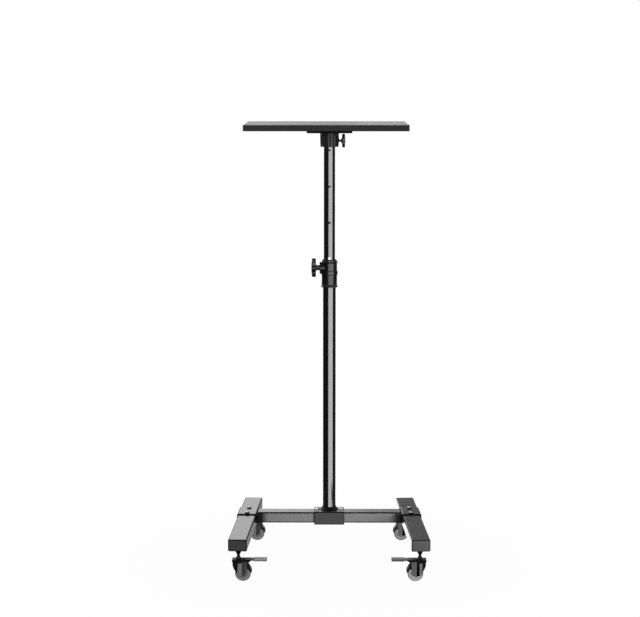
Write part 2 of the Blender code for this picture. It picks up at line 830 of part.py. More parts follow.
def build_foot(side, axes):
    """A foot tube with its two end caps, drilled for the saddle's screws and the caster stems."""
    tube_length = foot_length - 2 * (cap_plate + seat_gap)
    tube = solid(
        f"{side}_foot_tube",
        box_tube("foot", foot_width, foot_height, frame_wall, frame_corner_radius, tube_length),
    )
    half_height = foot_height / 2
    wall_middle = half_height - frame_wall / 2
    for end in (-1, 1):
        screw_y = end * saddle_screw_spacing / 2 - foot_middle
        cut(tube, through_hole(frame_screw_radius, frame_wall), (0, wall_middle, -screw_y), upright)
        stem_y = stem_along(end) - foot_middle
        cut(tube, through_hole(stem_shank_radius, frame_wall), (0, -wall_middle, -stem_y), upright)
    place(tube, frame_grey, (0, foot_middle, foot_bottom + half_height), upright, axes)
    for end, name in ((-1, "front"), (1, "rear")):
        cap = build_end_cap(f"{side}_{name}_end_cap")
        turn = 0 if end < 0 else math.pi
        cap_y = foot_middle + end * foot_length / 2
        place(cap, plastic_black, (0, cap_y, foot_bottom + half_height), (0, 0, turn), axes)


def build_end_cap(name):
    """A cap's face plate with its hollow plug, face towards -Y."""
    outline = rounded_rectangle(foot_width, foot_height, frame_corner_radius)
    face = solid(name, extruded(name, outline, cap_plate))
    round_edges(face, cap_edge_round, 1)
    fit = 2 * (frame_wall + seat_gap)
    radius = cap_plug_wall + (frame_corner_radius - frame_wall) / 2
    plug_length = cap_plug + cap_plate / 2
    plug = box_tube("plug", foot_width - fit, foot_height - fit, cap_plug_wall, radius, plug_length)
    join(face, plug, (0, 0, -plug_length / 2))
    face.data.transform(Matrix.Translation((0, 0, -cap_plate / 2)))
    face.data.transform(Matrix.Rotation(math.radians(90), 4, "X"))
    return face


def build_saddle(side, axes):
    """A bent sheet over the foot tube, screwed down through the top."""
    inner_half = foot_width / 2 + seat_gap
    outer_half = inner_half + saddle_sheet
    outer_radius = saddle_bend_radius + saddle_sheet
    outline = [(-outer_half, -saddle_drop), (-inner_half, -saddle_drop)]
    inner_corner = (inner_half - saddle_bend_radius, -saddle_sheet - saddle_bend_radius)
    outer_corner = (outer_half - outer_radius, -outer_radius)
    outline += arc((-inner_corner[0], inner_corner[1]), saddle_bend_radius, 180, 90, corner_steps)
    outline += arc(inner_corner, saddle_bend_radius, 90, 0, corner_steps)
    outline += [(inner_half, -saddle_drop), (outer_half, -saddle_drop)]
    outline += arc(outer_corner, outer_radius, 0, 90, corner_steps)
    outline += arc((-outer_corner[0], outer_corner[1]), outer_radius, 90, 180, corner_steps)
    saddle = solid(f"{side}_saddle", extruded("saddle", outline, saddle_length))
    for end in (-1, 1):
        hole = through_hole(frame_screw_radius, saddle_sheet)
        cut(saddle, hole, (0, -saddle_sheet / 2, end * saddle_screw_spacing / 2), upright)
    place(saddle, frame_grey, (0, 0, saddle_top), upright, axes)
    for end, name in ((-1, "front"), (1, "rear")):
        frame_screw(f"{side}_{name}_saddle_screw", 0, end * saddle_screw_spacing / 2, saddle_top, axes)


def build_cross_tube():
    """The cross tube, mitred at both ends to seat on the saddles, and drilled for the sleeve's screws."""
    mesh = box_tube("cross", cross_tube_depth, cross_tube_height, frame_wall, frame_corner_radius, foot_spacing)
    tube = solid("cross_tube", mesh)
    waste_length = 2 * (foot_width / 2 + seat_gap + saddle_sheet + seat_gap)
    wall_middle = (cross_tube_height - frame_wall) / 2
    for end in (-1, 1):
        waste = cuboid("waste", 2 * cross_tube_depth, 2 * cross_tube_height, waste_length)
        cut(tube, waste, (0, 0, end * foot_spacing / 2), (0, end * foot_turn, 0))
        hole = through_hole(frame_screw_radius, frame_wall)
        cut(tube, hole, (0, wall_middle, end * sleeve_screw_spacing / 2), upright)
    place(tube, frame_grey, (0, mast_y, cross_top - cross_tube_height / 2), upright_along_x)


def build_sleeve():
    """The block that wraps the cross tube and takes the mast's foot through its top."""
    opening_depth = cross_tube_depth + 2 * seat_gap
    opening_height = cross_tube_height + 2 * seat_gap
    outline = rounded_rectangle(
        opening_depth + 2 * sleeve_side_wall, opening_height + 2 * sleeve_wall, frame_corner_radius / 2,
    )
    opening = rounded_rectangle(opening_depth, opening_height, frame_corner_radius)
    sleeve = solid("mast_sleeve", hollow_prism("mast_sleeve", outline, opening, sleeve_width))
    wall_middle = (opening_height + sleeve_wall) / 2
    mast_hole = cylinder("mast_hole", lower_tube_radius + seat_gap, sleeve_wall + 2 * cut_overrun, tube_steps)
    cut(sleeve, mast_hole, (0, wall_middle, 0), upright)
    for end in (-1, 1):
        hole = through_hole(frame_screw_radius, sleeve_wall)
        cut(sleeve, hole, (0, wall_middle, end * sleeve_screw_spacing / 2), upright)
    place(sleeve, frame_grey, (0, mast_y, cross_top - cross_tube_height / 2), upright_along_x)
    for end, side in ((-1, "left"), (1, "right")):
        frame_screw(f"{side}_sleeve_screw", end * sleeve_screw_spacing / 2, mast_y, sleeve_top)


# Casters
def hood_points(shares):
    """Outline points of the hood, from shares of its reach and height."""
    points = []
    for reach_share, height_share in shares:
        reach = hood_outer_reach if reach_share < 0 else hood_inner_reach
        points.append((reach * reach_share, hood_top * height_share))
    return points


def axle_points(shares):
    """Outline points about the axle, from shares of the wheel's radius."""
    return [(wheel_trail + wheel_radius * x, wheel_radius * (1 + z)) for x, z in shares]


def fender_points():
    """The fender's outer edge on the inner side, which thins towards its foot."""
    points = []
    for step in range(fender_steps + 1):
        share = step / fender_steps
        angle = math.radians(fender_low_angle + (fender_high_angle - fender_low_angle) * share)
        reach = hood_cavity_radius + fender_thin + (fender_thick - fender_thin) * share
        points.append((wheel_trail + reach * math.cos(angle), wheel_radius + reach * math.sin(angle)))
    return points


def side_plates(hood, outline, inner, outer):
    """Join the same plate to both sides of the hood."""
    for side in (-1, 1):
        join(hood, extruded("plate", outline, outer - inner), (0, side * (inner + outer) / 2, 0), upright)


def build_hood(name, braked):
    """The caster's hood: a fender over the wheel between two cheeks that end in tongues at the axle."""
    cavity_half = hood_cavity_width / 2
    cheek_face = cavity_half + hood_cheek
    core = hood_points(hood_outer_shares) + [(wheel_trail, wheel_radius)] + fender_points()
    core += hood_points(hood_inner_shares)
    hood = solid(name, extruded(name, core, 2 * (cheek_face - hood_cheek_step)), (0, 0, 0), upright)
    hood.data.transform(Matrix.Rotation(math.radians(90), 4, "X"))
    hood.rotation_euler = (0, 0, 0)
    wheel_room = cylinder("wheel_room", hood_cavity_radius, hood_cavity_width * 2, wheel_steps)
    cut(hood, wheel_room, (wheel_trail, 0, wheel_radius), along_y)
    cheek = hood_points(hood_outer_shares) + axle_points(tongue_shares) + hood_points(hood_inner_shares)
    side_plates(hood, cheek, cavity_half, cheek_face)
    side_plates(hood, axle_points(panel_shares), cheek_face - hood_cheek / 2, cheek_face + hood_panel)

    boss_foot = hood_top - hood_boss_brim
    boss = (
        (0, hood_top + hood_boss_rise), (stem_neck_radius * stem_cone_share, hood_top + hood_boss_rise),
        (hood_boss_radius, hood_top + hood_boss_brim), (hood_boss_radius, boss_foot), (0, boss_foot),
    )
    join(hood, turned("boss", boss, screw_steps))
    bore_length = hood_roof + hood_boss_rise + 2 * cut_overrun
    bore_middle = hood_top + hood_boss_rise + cut_overrun - bore_length / 2
    cut(hood, clearance_hole(stem_neck_radius, bore_length), (0, 0, bore_middle))
    pocket_top = stem_head_seat() + seat_gap
    pocket_foot = wheel_radius + hood_cavity_radius / 2
    pocket = clearance_hole(stem_head_radius, pocket_top - pocket_foot)
    cut(hood, pocket, (0, 0, (pocket_top + pocket_foot) / 2))
    blind_half = cheek_face - hood_blind_wall
    axle_bore = clearance_hole(axle_radius, 2 * blind_half)
    cut(hood, axle_bore, (wheel_trail, 0, wheel_radius), along_y)
    if braked:
        slot_left = wheel_trail + pedal_slot_inset
        slot_right = hood_inner_reach + cut_overrun
        slot_foot = wheel_diameter - pedal_slot_drop
        slot_top = hood_top + cut_overrun
        slot = cuboid("pedal_slot", slot_right - slot_left, hood_cavity_width, slot_top - slot_foot)
        cut(hood, slot, ((slot_left + slot_right) / 2, 0, (slot_foot + slot_top) / 2))
        pivot_bore = clearance_hole(pedal_pivot_radius, 2 * blind_half)
        cut(hood, pivot_bore, (pedal_pivot_x(), 0, pedal_pivot_z()), along_y)
    return hood


def stem_head_seat():
    """Height of the face that the stem's head pulls up against, inside the hood."""
    return hood_top - hood_roof * stem_head_share


def pedal_pivot_x():
    return wheel_trail + pedal_pivot_inset


def pedal_pivot_z():
    return wheel_diameter + pedal_pivot_rise


def build_stem(name, place_at):
    """The fixed stem: shank in the foot, cone, neck, and a pin that the hood swivels on."""
    seat = foot_bottom - seat_gap
    neck_top = hood_top + hood_boss_rise + stem_neck_rise
    head_seat = stem_head_seat()
    profile = (
        (0, foot_bottom + stem_rise),
        (stem_shank_radius, foot_bottom + stem_rise),
        (stem_shank_radius, seat),
        (stem_foot_radius, seat),
        (stem_foot_radius, seat - stem_brim),
        (stem_neck_radius * stem_cone_share, neck_top),
        (stem_neck_radius, hood_top + hood_boss_rise + seat_gap),
        (stem_neck_radius, head_seat),
        (stem_head_radius, head_seat),
        (stem_head_radius, head_seat - stem_head_height),
        (0, head_seat - stem_head_height),
    )
    place(solid(name, turned(name, profile, screw_steps)), black_steel, place_at)


def build_wheel(corner, axis):
    """Hub and tyre on the axle, turned about the wheel's own axis."""
    tread = wheel_radius
    seat = tread - tyre_height
    half = tyre_width / 2
    tyre_profile = (
        arc((tread - tyre_round, half - tyre_round), tyre_round, 90, 0, 2)
        + arc((tread - tyre_round, tyre_round - half), tyre_round, 0, -90, 2)
        + [(seat, -half), (seat, half)]
    )
    tyre = solid(f"{corner}_wheel_tyre", turned("tyre", tyre_profile, wheel_steps, ring=True))
    place(tyre, wheel_grey, (0, 0, 0), along_y, axis)

    rim = seat - seat_gap
    bore = axle_radius + seat_gap
    half_hub = hub_width / 2
    half_boss = hood_cavity_width / 2 - tyre_clearance / 2
    web = hub_web / 2
    hub_profile = (
        (rim, half_hub), (rim, -half_hub), (rim - hub_rim, -half_hub), (rim - hub_rim, -web),
        (hub_boss_radius, -web), (hub_boss_radius, -half_boss), (bore, -half_boss), (bore, half_boss),
        (hub_boss_radius, half_boss), (hub_boss_radius, web), (rim - hub_rim, web), (rim - hub_rim, half_hub),
    )
    hub = solid(f"{corner}_wheel_hub", turned("hub", hub_profile, hub_steps, ring=True))
    place(hub, wheel_grey, (0, 0, 0), along_y, axis)


def build_pedal(corner, pivot):
    """Brake lever with its pivot pins and shoe, and the moulded pad on its tongue."""
    pivot_x = pedal_pivot_x()
    pivot_z = pedal_pivot_z()
    to_tyre = math.hypot(pivot_x - wheel_trail, pivot_z - wheel_radius) - wheel_radius
    arm_top = hood_top + pedal_arm_proud - pivot_z
    arm_foot = arm_top - pedal_arm_thickness
    middle = (arm_top + arm_foot) / 2
    tongue_half = pedal_tongue_thickness / 2
    arm_end = pedal_arm_reach - pivot_x
    tongue_end = pedal_reach - pedal_pad_wall - seat_gap - pivot_x
    outline = [(-pedal_knuckle, arm_top), (-pedal_knuckle, 0)]
    for degrees, share in shoe_shares:
        angle = math.radians(degrees)
        outline.append((-to_tyre * share * math.sin(angle), -to_tyre * share * math.cos(angle)))
    outline += [
        (pedal_knuckle, 0), (pedal_knuckle, arm_foot), (arm_end, arm_foot),
        (arm_end, middle - tongue_half), (tongue_end, middle - tongue_half),
        (tongue_end, middle + tongue_half), (arm_end, middle + tongue_half), (arm_end, arm_top),
    ]
    width = hood_cavity_width - 2 * pedal_side_gap
    lever = solid(f"{corner}_brake_pedal", extruded("lever", outline, width))
    pin_length = hood_cavity_width + 2 * (hood_cheek - hood_blind_wall - seat_gap)
    join(lever, cylinder("pivot_pins", pedal_pivot_radius, pin_length, screw_steps))
    place(lever, plastic_black, (0, 0, 0), upright, pivot)

    pad_length = pedal_reach - pedal_arm_reach - seat_gap
    pad = solid(f"{corner}_pedal_pad", cuboid("pad", pad_length, pedal_pad_width, pedal_pad_thickness))
    round_edges(pad, pedal_pad_round)
    sleeve_length = pad_length - pedal_pad_wall + cut_overrun
    sleeve = cuboid("sleeve", sleeve_length, width + 2 * seat_gap, pedal_tongue_thickness + 2 * seat_gap)
    cut(pad, sleeve, ((sleeve_length - pad_length) / 2 - cut_overrun, 0, 0))
    pad_x = arm_end + seat_gap + pad_length / 2
    place(pad, nylon_grey, (pad_x, 0, middle), (0, 0, 0), pivot)


def build_caster(corner, side, end):
    """One swivel caster. Its wheel trails towards the middle of the stand, and so does its pedal."""
    x = side * (foot_spacing / 2 - stem_along(end) * math.sin(foot_turn))
    y = mast_y + stem_along(end) * math.cos(foot_turn)
    build_stem(f"{corner}_caster_stem", (x, y, 0))
    swivel = empty(f"{corner}_swivel_axis", (x, y, 0), (0, 0, 0 if side < 0 else math.pi))
    hood = build_hood(f"{corner}_caster_hood", end < 0)
    place(hood, plastic_black, (0, 0, 0), (0, 0, 0), swivel)
    axle_length = hood_cavity_width + 2 * (hood_cheek - hood_blind_wall - seat_gap)
    axle = solid(f"{corner}_caster_axle", cylinder("axle", axle_radius, axle_length, screw_steps))
    place(axle, bright_steel, (wheel_trail, 0, wheel_radius), along_y, swivel)
    wheel = empty(f"{corner}_wheel_axis", (wheel_trail, 0, wheel_radius), (0, 0, 0), swivel)
    build_wheel(corner, wheel)
    if end < 0:
        pivot = empty(f"{corner}_pedal_axis", (pedal_pivot_x(), 0, pedal_pivot_z()), (0, 0, 0), swivel)
        build_pedal(corner, pivot)


# Assembly
build_tray()
build_plate()
build_socket()
build_tray_screws()
build_socket_knob()
build_upper_tube()
build_guide_bush()
build_collar_bush()
build_collar()
build_height_knob()
build_lower_tube()
build_mast_foot()
build_sleeve()
build_cross_tube()
for foot_name, foot_side in (("left", -1), ("right", 1)):
    foot_axes = foot_frame(foot_name, foot_side)
    build_foot(foot_name, foot_axes)
    build_saddle(foot_name, foot_axes)
    for end_name, foot_end in (("front", -1), ("rear", 1)):
        build_caster(f"{end_name}_{foot_name}", foot_side, foot_end)
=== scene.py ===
"""Looks of the rolling projector stand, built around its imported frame."""

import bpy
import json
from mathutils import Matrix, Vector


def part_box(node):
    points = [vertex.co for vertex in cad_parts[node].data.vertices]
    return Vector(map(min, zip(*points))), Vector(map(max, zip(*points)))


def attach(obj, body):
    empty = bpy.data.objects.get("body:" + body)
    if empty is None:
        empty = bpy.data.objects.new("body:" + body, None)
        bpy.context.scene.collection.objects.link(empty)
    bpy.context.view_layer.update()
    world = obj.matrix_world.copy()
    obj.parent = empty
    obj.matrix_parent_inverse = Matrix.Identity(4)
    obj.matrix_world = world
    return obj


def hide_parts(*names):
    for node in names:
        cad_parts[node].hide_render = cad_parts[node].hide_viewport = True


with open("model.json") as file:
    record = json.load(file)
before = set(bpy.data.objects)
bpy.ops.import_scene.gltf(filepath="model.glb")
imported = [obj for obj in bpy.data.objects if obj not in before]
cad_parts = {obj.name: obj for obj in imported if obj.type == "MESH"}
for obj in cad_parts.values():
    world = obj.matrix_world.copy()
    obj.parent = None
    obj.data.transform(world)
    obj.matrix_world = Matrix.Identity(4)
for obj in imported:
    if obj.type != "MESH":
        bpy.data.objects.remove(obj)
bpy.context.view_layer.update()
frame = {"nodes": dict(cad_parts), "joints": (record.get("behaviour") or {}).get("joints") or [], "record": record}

import json
import math

import bmesh
import bpy
from mathutils import Matrix, Vector

nodes = frame["nodes"]
joints = {joint["name"]: joint for joint in frame["joints"]}
bodies = frame["record"]["behaviour"]["bodies"]
body_of = {node: body for body, members in bodies.items() for node in members}


def node_size(node):
    low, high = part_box(node)
    return high - low


def node_middle(node):
    low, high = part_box(node)
    return (low + high) / 2


def joint_height(name):
    return joints[name]["pos_m"][2]


mast_x, mast_y, _ = node_middle("lower_tube")


def placed(name, data):
    """An object in the scene that shows a mesh, a lamp or a camera."""
    item = bpy.data.objects.new(name, data)
    bpy.context.scene.collection.objects.link(item)
    return item


# Camera: found from measured points of the photo, with the mast's axis as reference
camera_distance = 4.350
camera_height = 1.232
camera_pitch = 7.87
camera_turn = 0.31
sensor_width = 36
focal_pixels = 1748
photo_width = 640


def build_camera():
    """The photo's viewpoint."""
    data = bpy.data.cameras.new("photo_camera")
    data.sensor_width = sensor_width
    data.lens = focal_pixels / photo_width * sensor_width
    camera = placed("photo_camera", data)
    camera.location = (mast_x, mast_y - camera_distance, camera_height)
    camera.rotation_euler = (math.radians(90 - camera_pitch), 0, math.radians(camera_turn))
    bpy.context.scene.camera = camera
    bpy.context.scene.view_settings.view_transform = "Standard"


# Light and floor
ambient_light = 0.50
sky_gloss_light = 1.68
low_gloss_light = 0.05
front_gloss_share = 0.35
right_gloss_share = 0.13
floor_half = 1.0
floor_drop = 0.0004
floor_colour = (0.90, 0.90, 0.90, 1)
floor_white_share = 0.97
mast_lamp_x = 0.545
mast_lamp_distance = 1.284


def link(tree, *chain):
    """Join sockets pair by pair."""
    for output, target in zip(chain[::2], chain[1::2]):
        tree.links.new(output, target)


def add_node(tree, kind, inputs=None, **settings):
    """A shader node with its settings and the values of some inputs."""
    node = tree.nodes.new(f"ShaderNode{kind}")
    for name, value in settings.items():
        setattr(node, name, value)
    for name, value in (inputs or {}).items():
        node.inputs[name].default_value = value
    return node


def coordinate(tree, kind):
    """The X, Y and Z of a texture coordinate."""
    split = add_node(tree, "SeparateXYZ")
    link(tree, add_node(tree, "TexCoord").outputs[kind], split.inputs[0])
    return split.outputs


def ramp(tree, value, first, last, low, high):
    """Map a value from one range to another, held at the ends."""
    node = add_node(tree, "MapRange", {"From Min": first, "From Max": last, "To Min": low, "To Max": high})
    link(tree, value, node.inputs["Value"])
    return node.outputs[0]


def combined_value(tree, operation, first, second=0):
    """One number from one or two, each of which can be a constant."""
    node = add_node(tree, "Math", operation=operation)
    for socket, value in zip(node.inputs, (first, second)):
        if isinstance(value, (int, float)):
            socket.default_value = value
        else:
            link(tree, value, socket)
    return node.outputs[0]


def shader_mix(tree, factor, first, second):
    """One shader between two."""
    mix = add_node(tree, "MixShader")
    link(tree, factor, mix.inputs[0], first.outputs[0], mix.inputs[1], second.outputs[0], mix.inputs[2])
    return mix


def build_world():
    """White to the eye, soft ambient light, and for reflections a bright sky over a dark floor.

    The sky dims low behind the right of the stand, where the photo's right foot turns dark."""
    world = bpy.data.worlds.new("studio")
    bpy.context.scene.world = world
    world.use_nodes = True
    tree = world.node_tree
    tree.nodes.clear()
    x, y, z = coordinate(tree, "Generated")
    sky = ramp(tree, z, -0.02, 0.02, low_gloss_light, sky_gloss_light)
    sky = combined_value(tree, "MULTIPLY", sky, ramp(tree, y, -0.2, 0.3, front_gloss_share, 1))
    right = ramp(tree, x, 0.004, 0.022, 0, 1)
    above = ramp(tree, z, 0.13, 0.19, 0, 1)
    behind = ramp(tree, y, 0.30, 0.60, 0, 1)
    dark_patch = combined_value(tree, "MULTIPLY", combined_value(tree, "MULTIPLY", right, above), behind)
    gloss = combined_value(tree, "MULTIPLY", sky, ramp(tree, dark_patch, 0, 1, 1, right_gloss_share))

    white = {"Color": (1, 1, 1, 1)}
    ambient = add_node(tree, "Background", {**white, "Strength": ambient_light})
    studio = add_node(tree, "Background", white)
    link(tree, gloss, studio.inputs["Strength"])
    paths = add_node(tree, "LightPath").outputs
    seen = combined_value(tree, "MAXIMUM", paths["Is Camera Ray"], paths["Is Transmission Ray"])
    lit = shader_mix(tree, paths["Is Glossy Ray"], ambient, studio)
    backdrop = shader_mix(tree, seen, lit, add_node(tree, "Background", white))
    link(tree, backdrop.outputs[0], add_node(tree, "OutputWorld").inputs[0])


def build_floor():
    """A pale floor that keeps a faint shadow and fades into the background at its rim."""
    mesh = bpy.data.meshes.new("floor")
    net = bmesh.new()
    bmesh.ops.create_grid(net, x_segments=1, y_segments=1, size=floor_half)
    net.to_mesh(mesh)
    net.free()
    floor = placed("floor", mesh)
    floor.location = (0, 0, -floor_drop)
    floor.visible_glossy = False
    floor.visible_shadow = False
    material = bpy.data.materials.new("pale_floor")
    material.use_nodes = True
    tree = material.node_tree
    tree.nodes.clear()
    reach = add_node(tree, "VectorMath", operation="LENGTH")
    link(tree, add_node(tree, "TexCoord").outputs["Object"], reach.inputs[0])
    fade = ramp(tree, reach.outputs["Value"], floor_half * 0.45, floor_half * 0.98, floor_white_share, 1)
    seen = combined_value(tree, "MULTIPLY", add_node(tree, "LightPath").outputs["Is Camera Ray"], fade)
    matte = add_node(tree, "BsdfDiffuse", {"Color": floor_colour})
    mix = shader_mix(tree, seen, matte, add_node(tree, "Emission", {"Strength": 1.0}))
    link(tree, mix.outputs[0], add_node(tree, "OutputMaterial").inputs[0])
    mesh.materials.append(material)


def soft_panel(name, place, target, width, height, radiance, *lit):
    """A panel of light that faces a target, kept to the forms of some nodes if any are given.

    Its radiance is given, and its power follows."""
    data = bpy.data.lights.new(name, "AREA")
    data.shape = "RECTANGLE"
    data.size = width
    data.size_y = height
    data.energy = radiance * math.pi * width * height
    lamp = placed(name, data)
    lamp.location = place
    lamp.rotation_euler = (Vector(target) - Vector(place)).to_track_quat("-Z", "Y").to_euler()
    lamp.visible_camera = False
    if lit:
        receivers = bpy.data.collections.new(f"{name}_receivers")
        bpy.context.scene.collection.children.link(receivers)
        for node in lit:
            receivers.objects.link(bpy.data.objects[f"{node}_form"])
        lamp.light_linking.receiver_collection = receivers


def build_lights():
    """Soft panels over the front, and tall ones whose reflections run down the mast."""
    mast = (mast_x, mast_y)
    front = (mast_lamp_x, mast_y - mast_lamp_distance)
    rear_pieces = [
        f"rear_{side}_{piece}" for side in ("left", "right")
        for piece in ("wheel_tyre", "wheel_hub", "caster_hood")
    ]
    soft_panel("key_panel", (-1.6, -2.2, 2.6), (0, 0, 0.4), 1.6, 1.6, 1.6)
    soft_panel("fill_panel", (2.4, -1.6, 1.8), (0, 0, 0.4), 1.6, 1.6, 0.9)
    soft_panel(
        "left_pad_panel", (-0.35, -1.3, 0.45), (-0.15, -0.2, 0.05), 0.5, 0.5, 15.0,
        "front_left_pedal_pad",
    )
    soft_panel(
        "right_foot_panel", (0.50, -0.80, 0.16), (0.22, -0.2, 0.09), 0.40, 0.30, 7.0,
        "right_front_end_cap", "front_right_wheel_tyre", "front_right_wheel_hub",
    )
    soft_panel(
        "mast_panel", (*front, 0.45), (*mast, 0.45), 2.30, 3.0, 10.8,
        "upper_tube", "lower_tube", "index_stud",
    )
    soft_panel(
        "rear_mast_panel", (0, 2.4, 0.4), (0, mast_y, 0.4), 0.8, 3.0, 2.6,
        "upper_tube", "lower_tube", "collar",
    )
    soft_panel("collar_panel", (*front, 0.62), (*mast, 0.62), 2.20, 0.5, 11.0, "collar")
    soft_panel("socket_panel", (*front, 1.02), (*mast, 1.04), 1.40, 0.5, 3.5, "tube_socket")
    soft_panel("tray_panel", (0.75, 3.2, 1.32), (0.1, 0.1, 1.09), 1.3, 0.5, 2.0, "tray_board")
    soft_panel("cross_panel", (0.46, -0.95, 0.15), (0.08, -0.1, 0.1), 0.6, 0.3, 36.0, "cross_tube")
    soft_panel("left_inner_panel", (0.12, 1.8, -0.41), (-0.2, -0.1, 0.09), 1.0, 0.6, 0.33, "left_foot_tube")
    soft_panel("right_inner_panel", (-0.12, 1.8, -0.41), (0.2, -0.1, 0.09), 1.0, 0.6, 1.7, "right_foot_tube")
    soft_panel("rear_caster_panel", (0, -1.6, 0.55), (0, 0.15, 0.03), 0.8, 0.5, 6.5, *rear_pieces)
    soft_panel(
        "rear_right_wheel_panel", (0.45, -1.6, 0.55), (0.2, 0.15, 0.03), 0.8, 0.5, 9.0,
        "rear_right_wheel_tyre", "rear_right_wheel_hub",
    )
    soft_panel("knob_panel", (*front, 0.95), (*mast, 0.90), 2.20, 1.6, 7.0, "height_knob", "socket_knob")


# Materials
def new_material(name, colour, roughness, metallic=0.0, specular=0.5):
    """A Principled material, and its tree, shader inputs and object coordinates."""
    material = bpy.data.materials.new(name)
    material.use_nodes = True
    tree = material.node_tree
    inputs = tree.nodes["Principled BSDF"].inputs
    inputs["Base Color"].default_value = (*colour, 1)
    inputs["Roughness"].default_value = roughness
    inputs["Metallic"].default_value = metallic
    inputs["Specular IOR Level"].default_value = specular
    return material, tree, inputs, add_node(tree, "TexCoord").outputs["Object"]


def noise(tree, place, scale, detail=3.0):
    """A noise texture, with its scale in cycles a metre."""
    texture = add_node(tree, "TexNoise", {"Scale": scale, "Detail": detail})
    link(tree, place, texture.inputs["Vector"])
    return texture.outputs["Fac"]


def spread(tree, value, low, high):
    """Map a noise's middle band to a range of values."""
    return ramp(tree, value, 0.3, 0.7, low, high)


def flatness(tree, first, last):
    """1 on faces square to the piece's own axes, 0 on its rounded edges."""
    x, y, z = (combined_value(tree, "ABSOLUTE", axis) for axis in coordinate(tree, "Normal"))
    widest = combined_value(tree, "MAXIMUM", combined_value(tree, "MAXIMUM", x, y), z)
    return ramp(tree, widest, first, last, 0, 1)


def grey(level):
    return (level, level, level * 1.02)


def colour_mix(tree, share, first, second):
    """A colour between two, each of which is a colour or another node's output."""
    mix = add_node(tree, "Mix", data_type="RGBA")
    link(tree, share, mix.inputs["Factor"])
    for name, colour in (("A", first), ("B", second)):
        if isinstance(colour, tuple):
            mix.inputs[name].default_value = (*colour, 1)
        else:
            link(tree, colour, mix.inputs[name])
    return mix.outputs["Result"]


def relief(tree, inputs, value, depth, strength):
    """Bump from a value, with its depth in metres."""
    bump = add_node(tree, "Bump", {"Strength": strength, "Distance": depth})
    link(tree, value, bump.inputs["Height"], bump.outputs["Normal"], inputs["Normal"])


def gloss_black_tube():
    material, tree, inputs, place = new_material("gloss_black_tube", grey(0.001), 0.15)
    link(tree, spread(tree, noise(tree, place, 60), 0.13, 0.17), inputs["Roughness"])
    link(tree, colour_mix(tree, noise(tree, place, 25), grey(0.0006), grey(0.0016)), inputs["Base Color"])
    relief(tree, inputs, noise(tree, place, 120), 0.00002, 0.12)
    return material


edge_roughness = 0.60


def frame_paint(name, dark, light, roughness, edge=0.004, flat=(0.955, 0.995), specular=0.5):
    """Fine-textured satin paint, with painted shade in the edge grey on its rounded edges, which turn metallic
    there.
    """
    material, tree, inputs, place = new_material(name, grey(dark), roughness[0], 0.0, specular)
    level = flatness(tree, *flat)
    link(tree, combined_value(tree, "SUBTRACT", 1, level), inputs["Metallic"])
    satin = spread(tree, noise(tree, place, 45), *roughness)
    rough = ramp(tree, level, 0, 1, edge_roughness, 0)
    link(tree, combined_value(tree, "MAXIMUM", satin, rough), inputs["Roughness"])
    paint = colour_mix(tree, spread(tree, noise(tree, place, 1400, 2.0), 0, 1), grey(dark), grey(light))
    # Painted shade: the rounded edges take the edge grey instead of the paint.
    link(tree, colour_mix(tree, level, grey(edge), paint), inputs["Base Color"])
    relief(tree, inputs, noise(tree, place, 1600, 2.0), 0.00003, 0.06)
    return material


def shade_paint(tree, shade, colour):
    """Take a material's paint to another colour where the shade is 1."""
    base = tree.nodes["Principled BSDF"].inputs["Base Color"]
    link(tree, colour_mix(tree, shade, base.links[0].from_socket, colour), base)


def end_shade(material, half):
    """Shade the front of a tube by its ends, where the feet stand close."""
    tree = material.node_tree
    reach = combined_value(tree, "ABSOLUTE", coordinate(tree, "Object")["Z"])
    near_end = ramp(tree, reach, half - 0.026, half - 0.010, 0, 1)
    facing = combined_value(tree, "ABSOLUTE", coordinate(tree, "Normal")["X"])
    on_side = ramp(tree, facing, 0.7, 0.9, 0, 1)
    shade_paint(tree, combined_value(tree, "MULTIPLY", near_end, on_side), grey(0.004))


def underside_shade(material, first, last):
    """Blacken a small moulding below a height of its own."""
    tree = material.node_tree
    shade_paint(tree, ramp(tree, coordinate(tree, "Object")["Z"], first, last, 1, 0), grey(0.006))


def board_laminate():
    material, tree, inputs, place = new_material("board_laminate", grey(0.034), 0.42, specular=0.38)
    stretched = add_node(tree, "Mapping", {"Scale": (0.12, 1, 1)})
    link(tree, place, stretched.inputs["Vector"])
    grain = noise(tree, stretched.outputs[0], 700, 4.0)
    link(tree, colour_mix(tree, spread(tree, grain, 0, 1), grey(0.028), grey(0.042)), inputs["Base Color"])
    link(tree, spread(tree, grain, 0.36, 0.48), inputs["Roughness"])
    relief(tree, inputs, grain, 0.00003, 0.2)
    return material


def moulded_plastic(name, dark, light, roughness, specular=0.5):
    material, tree, inputs, place = new_material(name, grey(dark), roughness, 0.0, specular)
    grain = noise(tree, place, 2200, 2.0)
    mottle = spread(tree, noise(tree, place, 90), 0, 1)
    link(tree, colour_mix(tree, mottle, grey(dark), grey(light)), inputs["Base Color"])
    link(tree, spread(tree, grain, roughness - 0.05, roughness + 0.07), inputs["Roughness"])
    relief(tree, inputs, grain, 0.00004, 0.25)
    return material


def plated_steel(name, colour, roughness):
    material, tree, inputs, place = new_material(name, colour, roughness, 1.0)
    grain = spread(tree, noise(tree, place, 350), roughness - 0.06, roughness + 0.10)
    link(tree, grain, inputs["Roughness"])
    relief(tree, inputs, noise(tree, place, 1800), 0.00003, 0.3)
    return material


